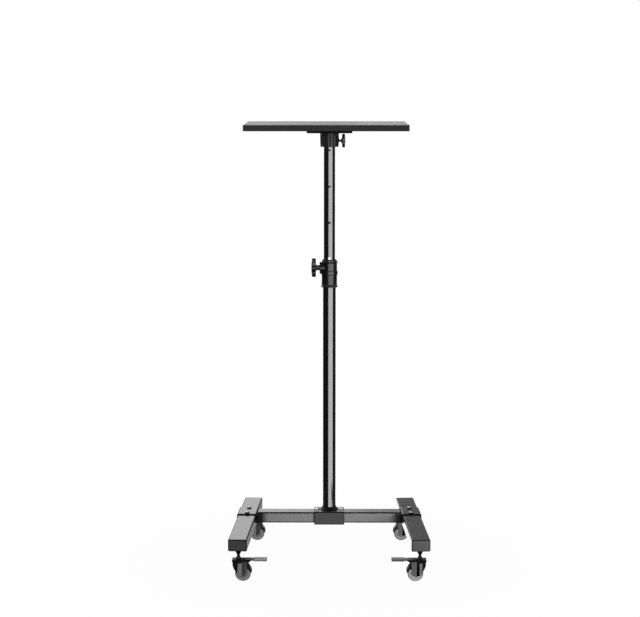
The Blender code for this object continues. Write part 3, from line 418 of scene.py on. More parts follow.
tube_black = gloss_black_tube()
foot_paint = frame_paint("foot_paint", 0.038, 0.046, (0.12, 0.17), specular=0.38)
cross_paint = frame_paint("cross_paint", 0.100, 0.115, (0.20, 0.25), 0.002, (0.980, 0.998), 0.30)
end_shade(cross_paint, node_size("cross_tube").x / 2)
sleeve_paint = frame_paint("sleeve_paint", 0.118, 0.136, (0.26, 0.34), 0.002, (0.980, 0.998))
cap_plastic = frame_paint("cap_plastic", 0.056, 0.066, (0.40, 0.48), 0.003)
pad_plastic = frame_paint("pad_plastic", 0.225, 0.255, (0.42, 0.50), 0.003, (0.90, 0.965))
underside_shade(pad_plastic, -0.0003, 0.0002)
black_plastic = moulded_plastic("black_plastic", 0.0015, 0.0030, 0.26, 0.20)
ring_black = moulded_plastic("ring_black", 0.0010, 0.0020, 0.40, 0.10)
# Near-black painted shade for screw recesses and rims, the saddles' cut ends and the caster groove.
painted_shade_black = moulded_plastic("painted_shade_black", 0.0010, 0.0020, 0.60, 0.05)
socket_plastic = moulded_plastic("socket_plastic", 0.009, 0.014, 0.36, 0.40)
hood_plastic = moulded_plastic("hood_plastic", 0.004, 0.008, 0.38, 0.40)
cheek_plastic = moulded_plastic("cheek_plastic", 0.240, 0.280, 0.42)
panel_plastic = moulded_plastic("panel_plastic", 0.054, 0.072, 0.42)
# A lighter copy of the panel grey, as painted light on the panels of the hood's wide side.
lit_panel_plastic = moulded_plastic("lit_panel_plastic", 0.165, 0.195, 0.42)
pedal_plastic = moulded_plastic("pedal_plastic", 0.110, 0.130, 0.38)
stem_black = moulded_plastic("stem_black", 0.003, 0.006, 0.40)
tread_rubber = moulded_plastic("tread_rubber", 0.040, 0.060, 0.55)
wheel_rubber = moulded_plastic("wheel_rubber", 0.330, 0.390, 0.50)
hub_plastic = moulded_plastic("hub_plastic", 0.400, 0.470, 0.42)
bush_nylon = moulded_plastic("bush_nylon", 0.030, 0.040, 0.45)
bright_steel = plated_steel("bright_steel", (0.72, 0.72, 0.73), 0.24)
black_steel = plated_steel("black_steel", (0.050, 0.050, 0.052), 0.34)
board_black = board_laminate()
band_black = moulded_plastic("band_black", 0.025, 0.031, 0.50)


# Mesh tools
upright = Matrix.Rotation(math.radians(90), 4, "X")
along_x = Matrix.Rotation(math.radians(90), 4, "Y")
along_y = Matrix.Rotation(math.radians(-90), 4, "X")
upright_along_x = Matrix.Rotation(math.radians(90), 4, "Z") @ upright
cut_overrun = 0.002
seat_gap = 0.0003
turn_steps = 96
small_steps = 40
fillet_steps = 5
cut_edge = 0.0004


def shift(x, y, z):
    return Matrix.Translation((x, y, z))


def spin(angle):
    return Matrix.Rotation(angle, 4, "Z")


def on_mast(height):
    """The mast's axis at a height."""
    return shift(mast_x, mast_y, height)

def mesh_of(name, net):
    """A mesh from a bmesh, with its faces turned outwards."""
    bmesh.ops.recalc_face_normals(net, faces=net.faces)
    mesh = bpy.data.meshes.new(name)
    net.to_mesh(mesh)
    net.free()
    return mesh


def filleted(corners, closed=False):
    """A path with round corners, from (x, y) or (x, y, fillet) points."""
    points = []
    count = len(corners)
    for index, corner in enumerate(corners):
        middle = Vector(corner[:2])
        if len(corner) == 2 or (not closed and index in (0, count - 1)):
            points.append(tuple(middle))
            continue
        before = Vector(corners[index - 1][:2]) - middle
        after = Vector(corners[(index + 1) % count][:2]) - middle
        reach = corner[2] / math.tan(before.angle(after) / 2)
        reach = min(reach, 0.48 * before.length, 0.48 * after.length)
        first = middle + before.normalized() * reach
        last = middle + after.normalized() * reach
        for step in range(fillet_steps + 1):
            share = step / fillet_steps
            point = first * (1 - share) ** 2 + middle * 2 * share * (1 - share) + last * share ** 2
            points.append(tuple(point))
    return points


def rectangle(width, height, radius, steps=6):
    """A round-cornered rectangle about the origin."""
    points = []
    for side, end, first in ((1, 1, 0), (-1, 1, 90), (-1, -1, 180), (1, -1, 270)):
        for step in range(steps + 1):
            angle = math.radians(first + 90 * step / steps)
            x = side * (width / 2 - radius) + radius * math.cos(angle)
            points.append((x, end * (height / 2 - radius) + radius * math.sin(angle)))
    return points


def loft(name, rows, ring=False):
    """A closed skin over rows of points with as many in each. A row of one point is a tip."""
    net = bmesh.new()
    corners = [[net.verts.new(point) for point in row] for row in rows]
    pairs = list(zip(corners, corners[1:]))
    if ring:
        pairs.append((corners[-1], corners[0]))
    for upper, lower in pairs:
        steps = max(len(upper), len(lower))
        for step in range(steps):
            after = (step + 1) % steps
            face = [upper[step % len(upper)], lower[step % len(lower)]]
            face += [lower[after % len(lower)], upper[after % len(upper)]]
            net.faces.new(list(dict.fromkeys(face)))
    if not ring:
        for row in (corners[0], corners[-1]):
            if len(row) > 1:
                net.faces.new(row)
    return mesh_of(name, net)


def lathe(name, corners, steps=turn_steps, ring=False, shape=None):
    """(radius, height, fillet) corners turned about Z. A shape can vary the radius with angle and height."""
    rows = []
    for radius, height in filleted(corners, ring):
        if radius == 0:
            rows.append([(0, 0, height)])
            continue
        row = []
        for step in range(steps):
            angle = 2 * math.pi * step / steps
            reach = shape(angle, radius, height) if shape else radius
            row.append((reach * math.cos(angle), reach * math.sin(angle), height))
        rows.append(row)
    return loft(name, rows, ring)


def mirrored(corners):
    """Corners on one side of z = 0, and the same on the other side."""
    return (*corners, *((radius, -height, *fillet) for radius, height, *fillet in reversed(corners)))


def layers(outlines):
    """Rows of a loft from (outline, height) pairs."""
    return [[(x, y, height) for x, y in outline] for outline, height in outlines]


def box_section(name, width, height, radius, length):
    """A rectangular tube along Z, centred, with its cut ends broken a little."""
    half = length / 2
    outside = rectangle(width, height, radius)
    eased = rectangle(width - 2 * cut_edge, height - 2 * cut_edge, radius - cut_edge)
    bore = rectangle(width - 2 * frame_wall, height - 2 * frame_wall, max(radius - frame_wall, cut_edge))
    return loft(name, layers((
        (eased, half), (outside, half - cut_edge), (outside, cut_edge - half), (eased, -half),
        (bore, -half), (bore, half),
    )), ring=True)


def reshaped(mesh, kind, **settings):
    """A mesh after one modifier."""
    guide = placed("guide", mesh)
    modifier = guide.modifiers.new(kind, kind)
    for name, value in settings.items():
        setattr(modifier, name, value)
    result = bpy.data.meshes.new_from_object(guide.evaluated_get(bpy.context.evaluated_depsgraph_get()))
    bpy.data.objects.remove(guide)
    return result


def painted(mesh, material):
    mesh.materials.clear()
    mesh.materials.append(material)
    return mesh


def slab(name, corners, thickness, ease=0, material=None, segments=2, sharpest=40):
    """A flat outline as a slab centred on z = 0, with its sharp edges rounded if a width is given."""
    outline = filleted(corners, closed=True)
    mesh = loft(name, layers(((outline, thickness / 2), (outline, -thickness / 2))))
    if ease:
        mesh = reshaped(
            mesh, "BEVEL", width=ease, segments=segments,
            limit_method="ANGLE", angle_limit=math.radians(sharpest),
        )
    return painted(mesh, material) if material else mesh


def combined(mesh, tool, operation, place=Matrix()):
    """A Boolean of a mesh with a tool at a place. The tool keeps its own material."""
    tool = tool.copy()
    tool.transform(place)
    cutter = placed("tool", tool)
    result = reshaped(
        mesh, "BOOLEAN", operation=operation, solver="EXACT", object=cutter, material_mode="TRANSFER",
    )
    bpy.data.objects.remove(cutter)
    return result


def cut(mesh, tool, place=Matrix()):
    return combined(mesh, tool, "DIFFERENCE", place)


def join(mesh, tool, place=Matrix()):
    return combined(mesh, tool, "UNION", place)


def with_shells(mesh, shells):
    """A mesh with closed shells set into its faces, each with its own material."""
    net = bmesh.new()
    net.from_mesh(mesh)
    materials = list(mesh.materials)
    for shell, place in shells:
        materials += [material for material in shell.materials if material not in materials]
        copy = shell.copy()
        copy.transform(place)
        first = len(net.faces)
        net.from_mesh(copy)
        net.faces.ensure_lookup_table()
        for face in net.faces[first:]:
            face.material_index = materials.index(shell.materials[face.material_index])
    result = bpy.data.meshes.new(mesh.name)
    net.to_mesh(result)
    net.free()
    for material in materials:
        result.materials.append(material)
    return result


def paint_faces(mesh, material, chosen):
    """Give another material to the faces that a test chooses."""
    mesh.materials.append(material)
    for face in mesh.polygons:
        if chosen(face):
            face.material_index = 1
    return mesh


def rod(name, radius, length, steps=small_steps):
    """A plain cutter or pin along Z, centred."""
    half = length / 2
    return lathe(name, ((0, half), (radius, half), (radius, -half), (0, -half)), steps)


def stand_for(node, mesh, place, material=None, name=None):
    """A finer piece in a node's place: it shows instead of the node and moves with its body."""
    if material:
        painted(mesh, material)
    mesh.shade_smooth()
    mesh.set_sharp_from_angle(angle=math.radians(32))
    piece = placed(name or f"{node}_form", mesh)
    piece.matrix_world = place
    even = piece.modifiers.new("Even", "WEIGHTED_NORMAL")
    even.keep_sharp = True
    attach(piece, body_of[node])
    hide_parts(node)


# Tray head
board_corner = 0.006
board_edge = 0.0014
edge_band = 0.0010
plate_sheet = 0.0020
plate_corner = 0.010
plate_reach = 0.030
socket_top_radius = 0.0234
socket_foot_radius = 0.0229
socket_fillet = 0.0028
socket_flutes = 12
flute_depth = 0.0012
flute_foot = 0.0010
flute_top = 0.0305
socket_flange = 0.0030
socket_flange_width = 0.084
socket_flange_corner = 0.012


def build_board():
    """The laminated board inside its edge band, with a hair of a seam between the two."""
    width, depth, height = node_size("tray_board")
    place = shift(*node_middle("tray_board"))
    top = height / 2
    seam = seat_gap / 2

    def outline(inset):
        return rectangle(width - 2 * inset, depth - 2 * inset, board_corner - inset, 10)

    inside = outline(edge_band)
    core_edge = outline(edge_band + 2 * seam)
    core = layers(((core_edge, top), (inside, top - seam), (inside, seam - top), (core_edge, -top)))
    stand_for("tray_board", loft("tray_board", core), place, board_black)
    rows = []
    for step in range(9):
        angle = math.radians(90 - 90 * step / 8)
        rows.append((outline(board_edge * (1 - math.cos(angle))), top - board_edge * (1 - math.sin(angle))))
    rows += [(row, -level) for row, level in reversed(rows)]
    band = loft("edge_band", layers(rows + [(inside, seam - top), (inside, top - seam)]), ring=True)
    stand_for("tray_board", band, place, band_black, "tray_board_edge_band")


def build_plate():
    """The pressed dish under the board, open below, with a soft shoulder and a rolled lip."""
    low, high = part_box("tray_plate")
    width, _, drop = high - low
    path = filleted((
        (plate_reach, drop), (0, drop, 0.0035), (0, 0, 0.0008), (plate_sheet, 0, 0.0008),
        (plate_sheet, drop - plate_sheet, 0.0020), (plate_reach, drop - plate_sheet),
    ))
    rows = []
    for inset, height in path:
        side = width - 2 * inset
        rows.append((rectangle(side, side, max(plate_corner - inset, 0.002), 8), height))
    plate = loft("tray_plate", layers(rows))
    stand_for("tray_plate", plate, shift((low.x + high.x) / 2, mast_y, low.z), black_steel)


def flute(angle, radius, height):
    """Flutes up the socket's wall, which run out at its foot and under its flange."""
    if radius < 0.016:
        return radius
    fade = min(max((flute_top - height) / 0.003, 0), 1) * min(max((height - flute_foot) / 0.002, 0), 1)
    return radius - flute_depth * fade * max(0, math.cos(socket_flutes * angle)) ** 1.5


def build_socket():
    """The fluted socket that drops over the upper tube, with its square flange."""
    low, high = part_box("tube_socket")
    height = high.z - low.z
    tube_radius = node_size("upper_tube").x / 2 + seat_gap
    bore_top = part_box("upper_tube")[1].z - low.z + seat_gap
    socket = lathe("tube_socket", (
        (0, height), (socket_top_radius, height), (socket_top_radius, 0.031), (socket_top_radius, 0.0285),
        (socket_top_radius, 0.022), (socket_foot_radius, 0.006), (socket_foot_radius, 0.004),
        (socket_foot_radius, 0, socket_fillet), (tube_radius, 0, 0.0006), (tube_radius, bore_top),
        (0, bore_top),
    ), 144, shape=flute)
    flange = rectangle(socket_flange_width, socket_flange_width, socket_flange_corner, 8)
    flange = slab("flange", flange, socket_flange, 0.0007, segments=3)
    socket = join(socket, flange, shift(0, 0, height - socket_flange / 2))
    at_knob = shift(0, 0, joint_height("socket_knob_turn") - low.z) @ along_x
    boss = ((0, 0.0245), (0.0052, 0.0245, 0.0008), (0.0062, 0.0180), (0, 0.0180))
    socket = join(socket, lathe("stud_boss", boss, small_steps), at_knob)
    socket = cut(socket, rod("stud_bore", 0.0030, 0.012), at_knob @ shift(0, 0, 0.022))
    stand_for("tube_socket", socket, on_mast(low.z), socket_plastic)


def cross_recess(head, span, width, depth, top):
    """A tapered cross pressed into a screw's head, its walls painted black as painted shade."""
    for angle in (0, math.pi / 2):
        arm = loft("arm", layers((
            (rectangle(span, width, width / 4, 2), top + cut_overrun),
            (rectangle(span * 0.75, width * 0.6, width / 5, 2), top - depth),
        )))
        head = cut(head, painted(arm, painted_shade_black), spin(angle))
    return head


def pan_screw(name, radius, length, head_radius, head_height, span, rim=None):
    """A pan-head screw whose head stands on z = 0, with its rim painted black as painted shade if a material is
    given for it.
    """
    screw = painted(lathe(name, (
        (0, head_height), (head_radius * 0.62, head_height * 0.97, head_radius * 0.6),
        (head_radius, head_height * 0.42, head_height * 0.5), (head_radius, 0, head_height * 0.12),
        (radius, 0), (radius, -length, radius * 0.4), (0, -length),
    ), small_steps), bright_steel)
    if rim:
        paint_faces(screw, rim, lambda face: face.center.xy.length > head_radius * 0.76)
    return cross_recess(screw, span, span * 0.30, head_height * 0.55, head_height)


def build_tray_screws():
    head = 0.0020
    screw = pan_screw("tray_screw", 0.002, 0.012, 0.0038, head, 0.0046)
    for corner in ("front_left", "front_right", "rear_left", "rear_right"):
        node = f"{corner}_tray_screw"
        x, y, _ = node_middle(node)
        stand_for(node, screw, shift(x, y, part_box(node)[0].z + head) @ Matrix.Rotation(math.pi, 4, "X"))


# Mast
rim_round = 0.0004
tube_wall = 0.0012
upper_radius = 0.014
index_hole_radius = 0.003
index_holes = 6
index_first = 0.038
index_step = 0.090
knob_bore = 0.0043


def build_tubes():
    """Both mast tubes, the upper one with its row of index holes."""
    for node in ("lower_tube", "upper_tube"):
        width, _, length = node_size(node)
        radius = width / 2
        bore = radius - tube_wall
        tube = lathe(node, (
            (radius, length, rim_round), (radius, 0, rim_round),
            (bore, 0, rim_round), (bore, length, rim_round),
        ), ring=True)
        for index in range(index_holes if node == "upper_tube" else 0):
            place = shift(0, -radius, length - index_first - index * index_step) @ along_y
            tube = cut(tube, rod("index_hole", index_hole_radius, radius), place)
        stand_for(node, tube, on_mast(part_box(node)[0].z), tube_black)


def build_index_stud():
    """A stud with a low crown, flush with the tube round its rim."""
    radius = index_hole_radius - seat_gap
    crown = math.sqrt(upper_radius ** 2 - radius ** 2)
    stud = lathe("index_stud", (
        (0, crown + 0.0001), (radius * 0.7, crown - 0.0001, 0.001), (radius, crown - 0.0011, 0.0006),
        (radius, 0.0122), (0.0041, 0.0120), (0.0041, 0.0110), (0, 0.0110),
    ), small_steps)
    stand_for("index_stud", stud, on_mast(node_middle("index_stud").z) @ upright, bright_steel)


def build_collar():
    """The moulded collar: foot flare, middle band, top lip, and a cupped boss for the height knob."""
    low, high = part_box("collar")
    height = high.z - low.z
    bore = node_size("lower_tube").x / 2 + seat_gap
    rise = joint_height("height_knob_turn") - low.z
    collar = lathe("collar", (
        (0, height), (0.0190, height, 0.0012), (0.0191, height - 0.0036, 0.0006),
        (0.0224, height - 0.0040, 0.0009), (0.0224, height - 0.0060, 0.0009),
        (0.0191, height - 0.0066, 0.0012), (0.0191, 0.0417, 0.0008), (0.0207, 0.0409, 0.0008),
        (0.0207, 0.0318, 0.0008), (0.0191, 0.0310, 0.0008), (0.0191, 0.0070, 0.0030),
        (0.0209, 0.0020, 0.0012), (0.0209, 0, 0.0008), (0, 0),
    ))
    boss = lathe("boss", (
        (0, 0.0220), (0.0122, 0.0220, 0.0008), (0.0128, 0.0246, 0.0004), (0.0152, 0.0246, 0.0012),
        (0.0155, 0.0215, 0.0030), (0.0150, 0.0060, 0.0020), (0.0150, 0), (0, 0),
    ), 64)
    collar = join(collar, boss, shift(0, 0, rise) @ along_x.inverted())
    collar = cut(collar, rod("bore", bore, height * 3, turn_steps), shift(0, 0, height / 2))
    half_step = math.pi / small_steps
    place = shift(-0.0246, 0, rise) @ along_x @ spin(half_step)
    collar = cut(collar, rod("stud_bore", knob_bore, 0.030), place)
    split = slab("split", rectangle(0.010, 0.0012, 0.0003, 2), height * 3)
    collar = cut(collar, split, shift(0.020, 0, height / 2))
    stand_for("collar", collar, on_mast(low.z), black_plastic)


def build_collar_bush():
    low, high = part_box("collar_bush")
    height = high.z - low.z
    bore = node_size("upper_tube").x / 2 + seat_gap
    bush = lathe("collar_bush", (
        (0.0176, height, 0.0005), (0.0176, height - 0.0012, 0.0003), (0.016, height - 0.0012), (0.016, 0),
        (bore, 0), (bore, height, 0.0004),
    ), ring=True)
    place = shift(-0.016, 0, joint_height("height_knob_turn") - low.z) @ along_x
    bush = cut(bush, rod("stud_bore", knob_bore, 0.016), place)
    stand_for("collar_bush", bush, on_mast(low.z), bush_nylon)


# Knobs
def lobed(lobes, depth, radius):
    """A shape that draws a turned knob in between its lobes."""
    def shape(angle, reach, height):
        share = min(reach / radius, 1) ** 3
        return reach - depth * share * (1 - math.cos(lobes * angle)) / 2
    return shape


def threaded(name, radius, length, pitch):
    """A stud from z = 0 up, with a fine thread."""
    points = [(0, length), (radius * 0.8, length)]
    for turn in range(int(length / pitch) - 1):
        height = length - pitch * (turn + 0.5)
        points += [(radius, height), (radius * 0.88, height - pitch / 2)]
    return lathe(name, points + [(radius * 0.8, 0), (0, 0)], 32)


def build_height_knob():
    """The eight-lobed knob with its tapered barrel, and its stud."""
    low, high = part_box("height_knob")
    seat = mast_x - high.x
    radius = (high.z - low.z) / 2
    back = seat + 0.0115
    front = back + 0.0102
    face = mast_x - low.x
    knob = lathe("height_knob", (
        (0, face), (0.0125, face - 0.0003, 0.010), (0.0150, front, 0.003), (radius, front, 0.0026),
        (radius, back, 0.0026), (0.0105, back, 0.0006), (0.0066, back - 0.0008, 0.0012),
        (0.0064, seat, 0.0004), (knob_bore, seat), (knob_bore, back + 0.0054), (0, back + 0.0054),
    ), 160, shape=lobed(8, 0.0028, radius))
    axis = on_mast(joint_height("height_knob_turn")) @ along_x.inverted()
    stand_for("height_knob", knob, axis, black_plastic)
    low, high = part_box("height_knob_stud")
    stud = threaded("height_knob_stud", 0.004, high.x - low.x, 0.001)
    place = shift(high.x, mast_y, (low.z + high.z) / 2) @ along_x.inverted()
    stand_for("height_knob_stud", stud, place, bright_steel)


def build_socket_knob():
    """The six-lobed knob on its bare stud."""
    low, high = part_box("socket_knob")
    seat = low.x - mast_x
    radius = 0.0168
    back = seat + 0.0027
    front = back + 0.0072
    face = high.x - mast_x
    knob = lathe("socket_knob", (
        (0, face), (0.0070, face - 0.0002, 0.006), (0.0090, front, 0.002), (radius, front, 0.0020),
        (radius, back, 0.0020), (0.0085, back, 0.0012), (0.0040, seat, 0.0008), (0.0030, seat),
        (0.0030, back + 0.0038), (0, back + 0.0038),
    ), 132, shape=lobed(6, 0.0022, radius))
    stand_for("socket_knob", knob, on_mast(joint_height("socket_knob_turn")) @ along_x, black_plastic)
    low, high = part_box("socket_knob_stud")
    stud = threaded("socket_knob_stud", 0.0027, high.x - low.x, 0.0008)
    stand_for("socket_knob_stud", stud, shift(low.x, mast_y, (low.z + high.z) / 2) @ along_x, black_steel)


# Base frame
frame_corner = 0.003
frame_wall = 0.0015
foot_width = 0.0455
saddle_sheet = 0.0025
saddle_drop = 0.0245
saddle_length = 0.070
caster_inset = 0.025
cap_round = 0.0024
cap_plate = 0.003
cap_plug = 0.012
screw_head = 0.0036
sleeve_edge = 0.0014


def foot_axes(side):
    """A foot's own axes, on the floor under its saddle, from its two swivel joints."""
    front = Vector(joints[f"front_{side}_swivel"]["pos_m"])
    run = Vector(joints[f"rear_{side}_swivel"]["pos_m"]) - front
    share = (mast_y - front.y) / run.y
    turn = math.atan2(-run.x, run.y)
    return shift((front + run * share).x, mast_y, 0) @ spin(turn), turn, run.length, share


def stand_screw(node, screw, angle):
    """A frame screw in its node's place, with its recess turned."""
    x, y, _ = node_middle(node)
    stand_for(node, screw, shift(x, y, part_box(node)[1].z - screw_head) @ spin(angle))


def build_feet():
    """Foot tubes, end caps, saddles and their screws."""
    screw = pan_screw("frame_screw", 0.003, 0.014, 0.006, screw_head, 0.0076, painted_shade_black)
    bare_screw = pan_screw("bare_frame_screw", 0.003, 0.014, 0.006, screw_head, 0.0062)
    for side in ("left", "right"):
        axes, _, run, share = foot_axes(side)
        low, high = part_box(f"{side}_foot_tube")
        height = high.z - low.z
        middle = (low.z + high.z) / 2
        front = -run * share - caster_inset
        rear = run * (1 - share) + caster_inset
        length = rear - front - 2 * (cap_plate + seat_gap)
        tube = box_section("foot_tube", foot_width, height, frame_corner, length)
        place = axes @ shift(0, (front + rear) / 2, middle) @ upright
        stand_for(f"{side}_foot_tube", tube, place, foot_paint)
        for end, along, facing in (("front", front, 0), ("rear", rear, math.pi)):
            place = axes @ shift(0, along, middle) @ spin(facing) @ upright
            stand_for(f"{side}_{end}_end_cap", end_cap(height), place, cap_plastic)
            stand_screw(f"{side}_{end}_saddle_screw", screw, -0.5 * along)
        stand_for(f"{side}_saddle", saddle(), axes @ shift(0, 0, high.z + seat_gap) @ upright)
        stand_screw(f"{side}_sleeve_screw", bare_screw, 0.4)


def end_cap(height):
    """A crowned face plate with eased edges and its plug behind, face towards +Z."""
    rows = []
    for step in range(7):
        angle = math.radians(15 * step)
        inset = cap_round * (1 - math.sin(angle))
        corner = max(frame_corner + 0.0004 - inset, 0.0008)
        outline = rectangle(foot_width - 2 * inset, height - 2 * inset, corner)
        rows.append((outline, cap_round * (math.cos(angle) - 1)))
    fit = 2 * (frame_wall + seat_gap)
    plug = rectangle(foot_width - fit, height - fit, frame_corner - frame_wall)
    bore = rectangle(foot_width - fit - 0.004, height - fit - 0.004, 0.0008)
    rows += [
        (outline, -cap_plate), (plug, -cap_plate), (plug, -cap_plate - cap_plug),
        (bore, -cap_plate - cap_plug), (bore, -cap_plate),
    ]
    return loft("end_cap", layers(rows))


def saddle():
    """A bent sheet that sits on the foot tube's top at y = 0, with its cut ends painted black as painted shade."""
    inner = foot_width / 2 + seat_gap
    outer = inner + saddle_sheet
    drop = saddle_drop - saddle_sheet
    corners = (
        (-outer, -drop), (-inner, -drop), (-inner, 0, 0.003), (inner, 0, 0.003),
        (inner, -drop), (outer, -drop), (outer, saddle_sheet, 0.0055), (-outer, saddle_sheet, 0.0055),
    )
    bent = slab("saddle", corners, saddle_length, 0.0005, foot_paint)
    return paint_faces(bent, painted_shade_black, lambda face: abs(face.normal.z) > 0.3)


def build_cross_tube():
    """The cross tube, mitred to seat on the turned saddles."""
    low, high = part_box("cross_tube")
    depth = high.y - low.y
    slope = math.tan(abs(foot_axes("right")[1]))
    length = (high.x - depth / 2 * slope) * 2
    mesh = box_section("cross_tube", depth, high.z - low.z, frame_corner + 0.0006, length)
    for vertex in mesh.vertices:
        side = 1 if vertex.co.z > 0 else -1
        vertex.co.z -= side * vertex.co.x * slope
    place = shift(mast_x, (low.y + high.y) / 2, (low.z + high.z) / 2) @ upright_along_x
    stand_for("cross_tube", mesh, place, cross_paint)


def build_sleeve():
    """The block that wraps the cross tube, and the flared ring round the mast's foot."""
    width, depth, height = node_size("mast_sleeve")
    half = width / 2
    outside = rectangle(depth, height, 0.0030)
    eased = rectangle(depth - 2 * sleeve_edge, height - 2 * sleeve_edge, 0.0016)
    bore = rectangle(depth - 0.0132, height - 0.006, frame_corner)
    sleeve = loft("mast_sleeve", layers((
        (eased, half), (outside, half - sleeve_edge), (outside, sleeve_edge - half), (eased, -half),
        (bore, -half), (bore, half),
    )), ring=True)
    mast_radius = node_size("lower_tube").x / 2 + seat_gap
    hole = rod("mast_hole", mast_radius, 0.008, turn_steps)
    sleeve = cut(sleeve, hole, shift(0, height / 2 - 0.0015, 0) @ upright)
    stand_for("mast_sleeve", sleeve, on_mast(node_middle("mast_sleeve").z) @ upright_along_x, sleeve_paint)
    low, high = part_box("mast_foot_ring")
    rise = high.z - low.z
    ring = lathe("mast_foot_ring", (
        (0.0176, rise, 0.0006), (0.0182, 0.0052, 0.004), (0.0222, 0.0024, 0.0012), (0.0222, 0, 0.0004),
        (mast_radius, 0), (mast_radius, rise, 0.0003),
    ), ring=True)
    stand_for("mast_foot_ring", ring, on_mast(low.z), ring_black)


# Casters
wheel_radius = 0.019
wheel_trail = 0.011
cavity_radius = 0.0203
cavity_half = 0.0095
cheek_face = 0.012
hood_top = 0.054
hood_outer = 0.0155
hood_inner = 0.030
tyre_half = 0.0080
tyre_depth = 0.0068
tread_depth = 0.0016
axle_length = 2 * cavity_half + 0.0024
stem_top = 0.0905
stem_seat = 0.0782
stem_neck = 0.0492
stem_foot = 0.0472
lever_reach = 0.038
pad_reach = 0.069
pad_length = 0.0307
pad_half = 0.0027
pad_ribs = 13
inlay_thickness = 0.0020
tongue_proud = 0.0003
panel_proud = 0.0007


def hood_points(shares):
    """Outline points of the hood, from shares of its reach and height, with their fillets."""
    points = []
    for reach_share, height_share, *fillet in shares:
        reach = hood_outer if reach_share < 0 else hood_inner
        points.append((reach * reach_share, hood_top * height_share, *fillet))
    return points


def axle_points(shares, fillet=0.0015):
    """Outline points about the axle, from shares of the wheel's radius."""
    return [(wheel_trail + wheel_radius * x, wheel_radius * (1 + z), fillet) for x, z in shares]


def fender_points():
    """The fender's outer edge on the inner side, which thins towards its foot."""
    points = []
    for step in range(11):
        share = step / 10
        angle = math.radians(10 + 50 * share)
        reach = cavity_radius + 0.0015 + 0.0022 * share
        points.append((wheel_trail + reach * math.cos(angle), wheel_radius + reach * math.sin(angle)))
    return points


outer_shares = (
    (-1.0, 1.0, 0.0020), (-1.0, 0.925, 0.002), (-0.90, 0.89, 0.002), (-0.90, 0.74, 0.006),
    (-0.71, 0.59, 0.008), (-0.41, 0.435, 0.004),
)
inner_shares = ((0.79, 0.83, 0.003), (0.87, 0.90, 0.003), (1.0, 0.94, 0.001), (1.0, 1.0, 0.001))
tongue_shares = (
    (-0.74, -0.08), (-0.42, -0.26), (-0.11, -0.32), (0.21, -0.25),
    (0.43, 0.02), (0.48, 0.35), (0.49, 0.62), (0.88, 0.66), (0.86, 0.89), (0.66, 1.16),
)
step_shares = (
    (-0.60, 1.40), tongue_shares[0], (-0.40, -0.24), *tongue_shares[2:6], (0.49, 0.85), (0.52, 1.40),
)
wide_step_shares = ((-0.88, 1.40), (-0.86, 0.32), (-0.72, -0.06), *step_shares[2:])
groove_shares = ((-0.50, 1.48), (-0.52, -0.36), (-0.12, -0.36), (-0.12, 1.48))
panel_shares = (
    (-0.15, 1.58), (-0.15, -0.27), (0.13, -0.23), (0.36, 0.03),
    (0.42, 0.35), (0.43, 0.88), (0.54, 1.25), (0.60, 1.58),
)


def hood(braked):
    """The fender over the wheel between two cheeks, whose tongues carry the axle."""
    ends = hood_points(outer_shares), hood_points(inner_shares)
    core = ends[0] + [(wheel_trail, wheel_radius)] + fender_points() + ends[1]
    body = slab("hood", core, 2 * cheek_face - 0.001, 0.0007, hood_plastic)
    body.transform(upright)
    wheel_room = painted(rod("wheel_room", cavity_radius, 0.04, turn_steps), hood_plastic)
    body = cut(body, wheel_room, shift(wheel_trail, 0, wheel_radius) @ along_y)
    cheek = ends[0] + axle_points(tongue_shares) + ends[1]
    cheek = slab("cheek", cheek, cheek_face - cavity_half, 0.0005, hood_plastic)
    # The groove's walls take a near-black painted shade from the cutter.
    groove = slab("groove", axle_points(groove_shares), 0.0036, 0, painted_shade_black)
    shells = []
    middle = cheek_face - inlay_thickness / 2
    # The wide side's panels are a lighter copy of the panel grey, as painted light.
    faces = ((-1, step_shares, panel_plastic), (1, wide_step_shares, lit_panel_plastic))
    for side, shares, finish in faces:
        step = slab("tongue", axle_points(shares), inlay_thickness, 0.0004, cheek_plastic)
        if side > 0:
            cheek = cut(cheek, groove, shift(0, 0, -0.0019))
            step = cut(step, groove)
        body = join(body, cheek, shift(0, side * (cavity_half + cheek_face) / 2, 0) @ upright)
        panel = slab("panel", axle_points(panel_shares), inlay_thickness, 0.0005, finish)
        shells.append((step, shift(0, side * (middle + tongue_proud), 0) @ upright))
        shells.append((panel, shift(0, side * (middle + panel_proud), 0) @ upright))
    boss = lathe("boss", (
        (0, hood_top + 0.0075), (0.0041, hood_top + 0.0075, 0.0004), (0.0066, hood_top + 0.002, 0.0015),
        (0.0066, hood_top - 0.002), (0, hood_top - 0.002),
    ), small_steps)
    body = join(body, painted(boss, hood_plastic))
    body = cut(body, painted(rod("pin_bore", 0.0030, 0.030), hood_plastic), shift(0, 0, 0.056))
    body = cut(body, painted(rod("head_pocket", 0.0053, 0.0207), hood_plastic), shift(0, 0, 0.0391))
    if braked:
        slot = rectangle(0.0175, 2 * cavity_half, 0.0004, 2)
        body = cut(body, slab("pedal_slot", slot, 0.024, 0, hood_plastic), shift(0.02325, 0, 0.046))
    return with_shells(body, shells)


def stem():
    """The turned stem: shank, cone, neck, and the pin that the hood swivels on."""
    return lathe("stem", (
        (0, stem_top), (0.004, stem_top, 0.0006), (0.004, stem_seat, 0.0004), (0.0072, stem_seat, 0.0004),
        (0.0072, stem_seat - 0.0015, 0.0008), (0.0066, 0.0712, 0.0010), (0.0030, 0.0634, 0.0012),
        (0.0027, stem_neck), (0.0050, stem_neck, 0.0003), (0.0050, stem_foot, 0.0004), (0, stem_foot),
    ), small_steps)


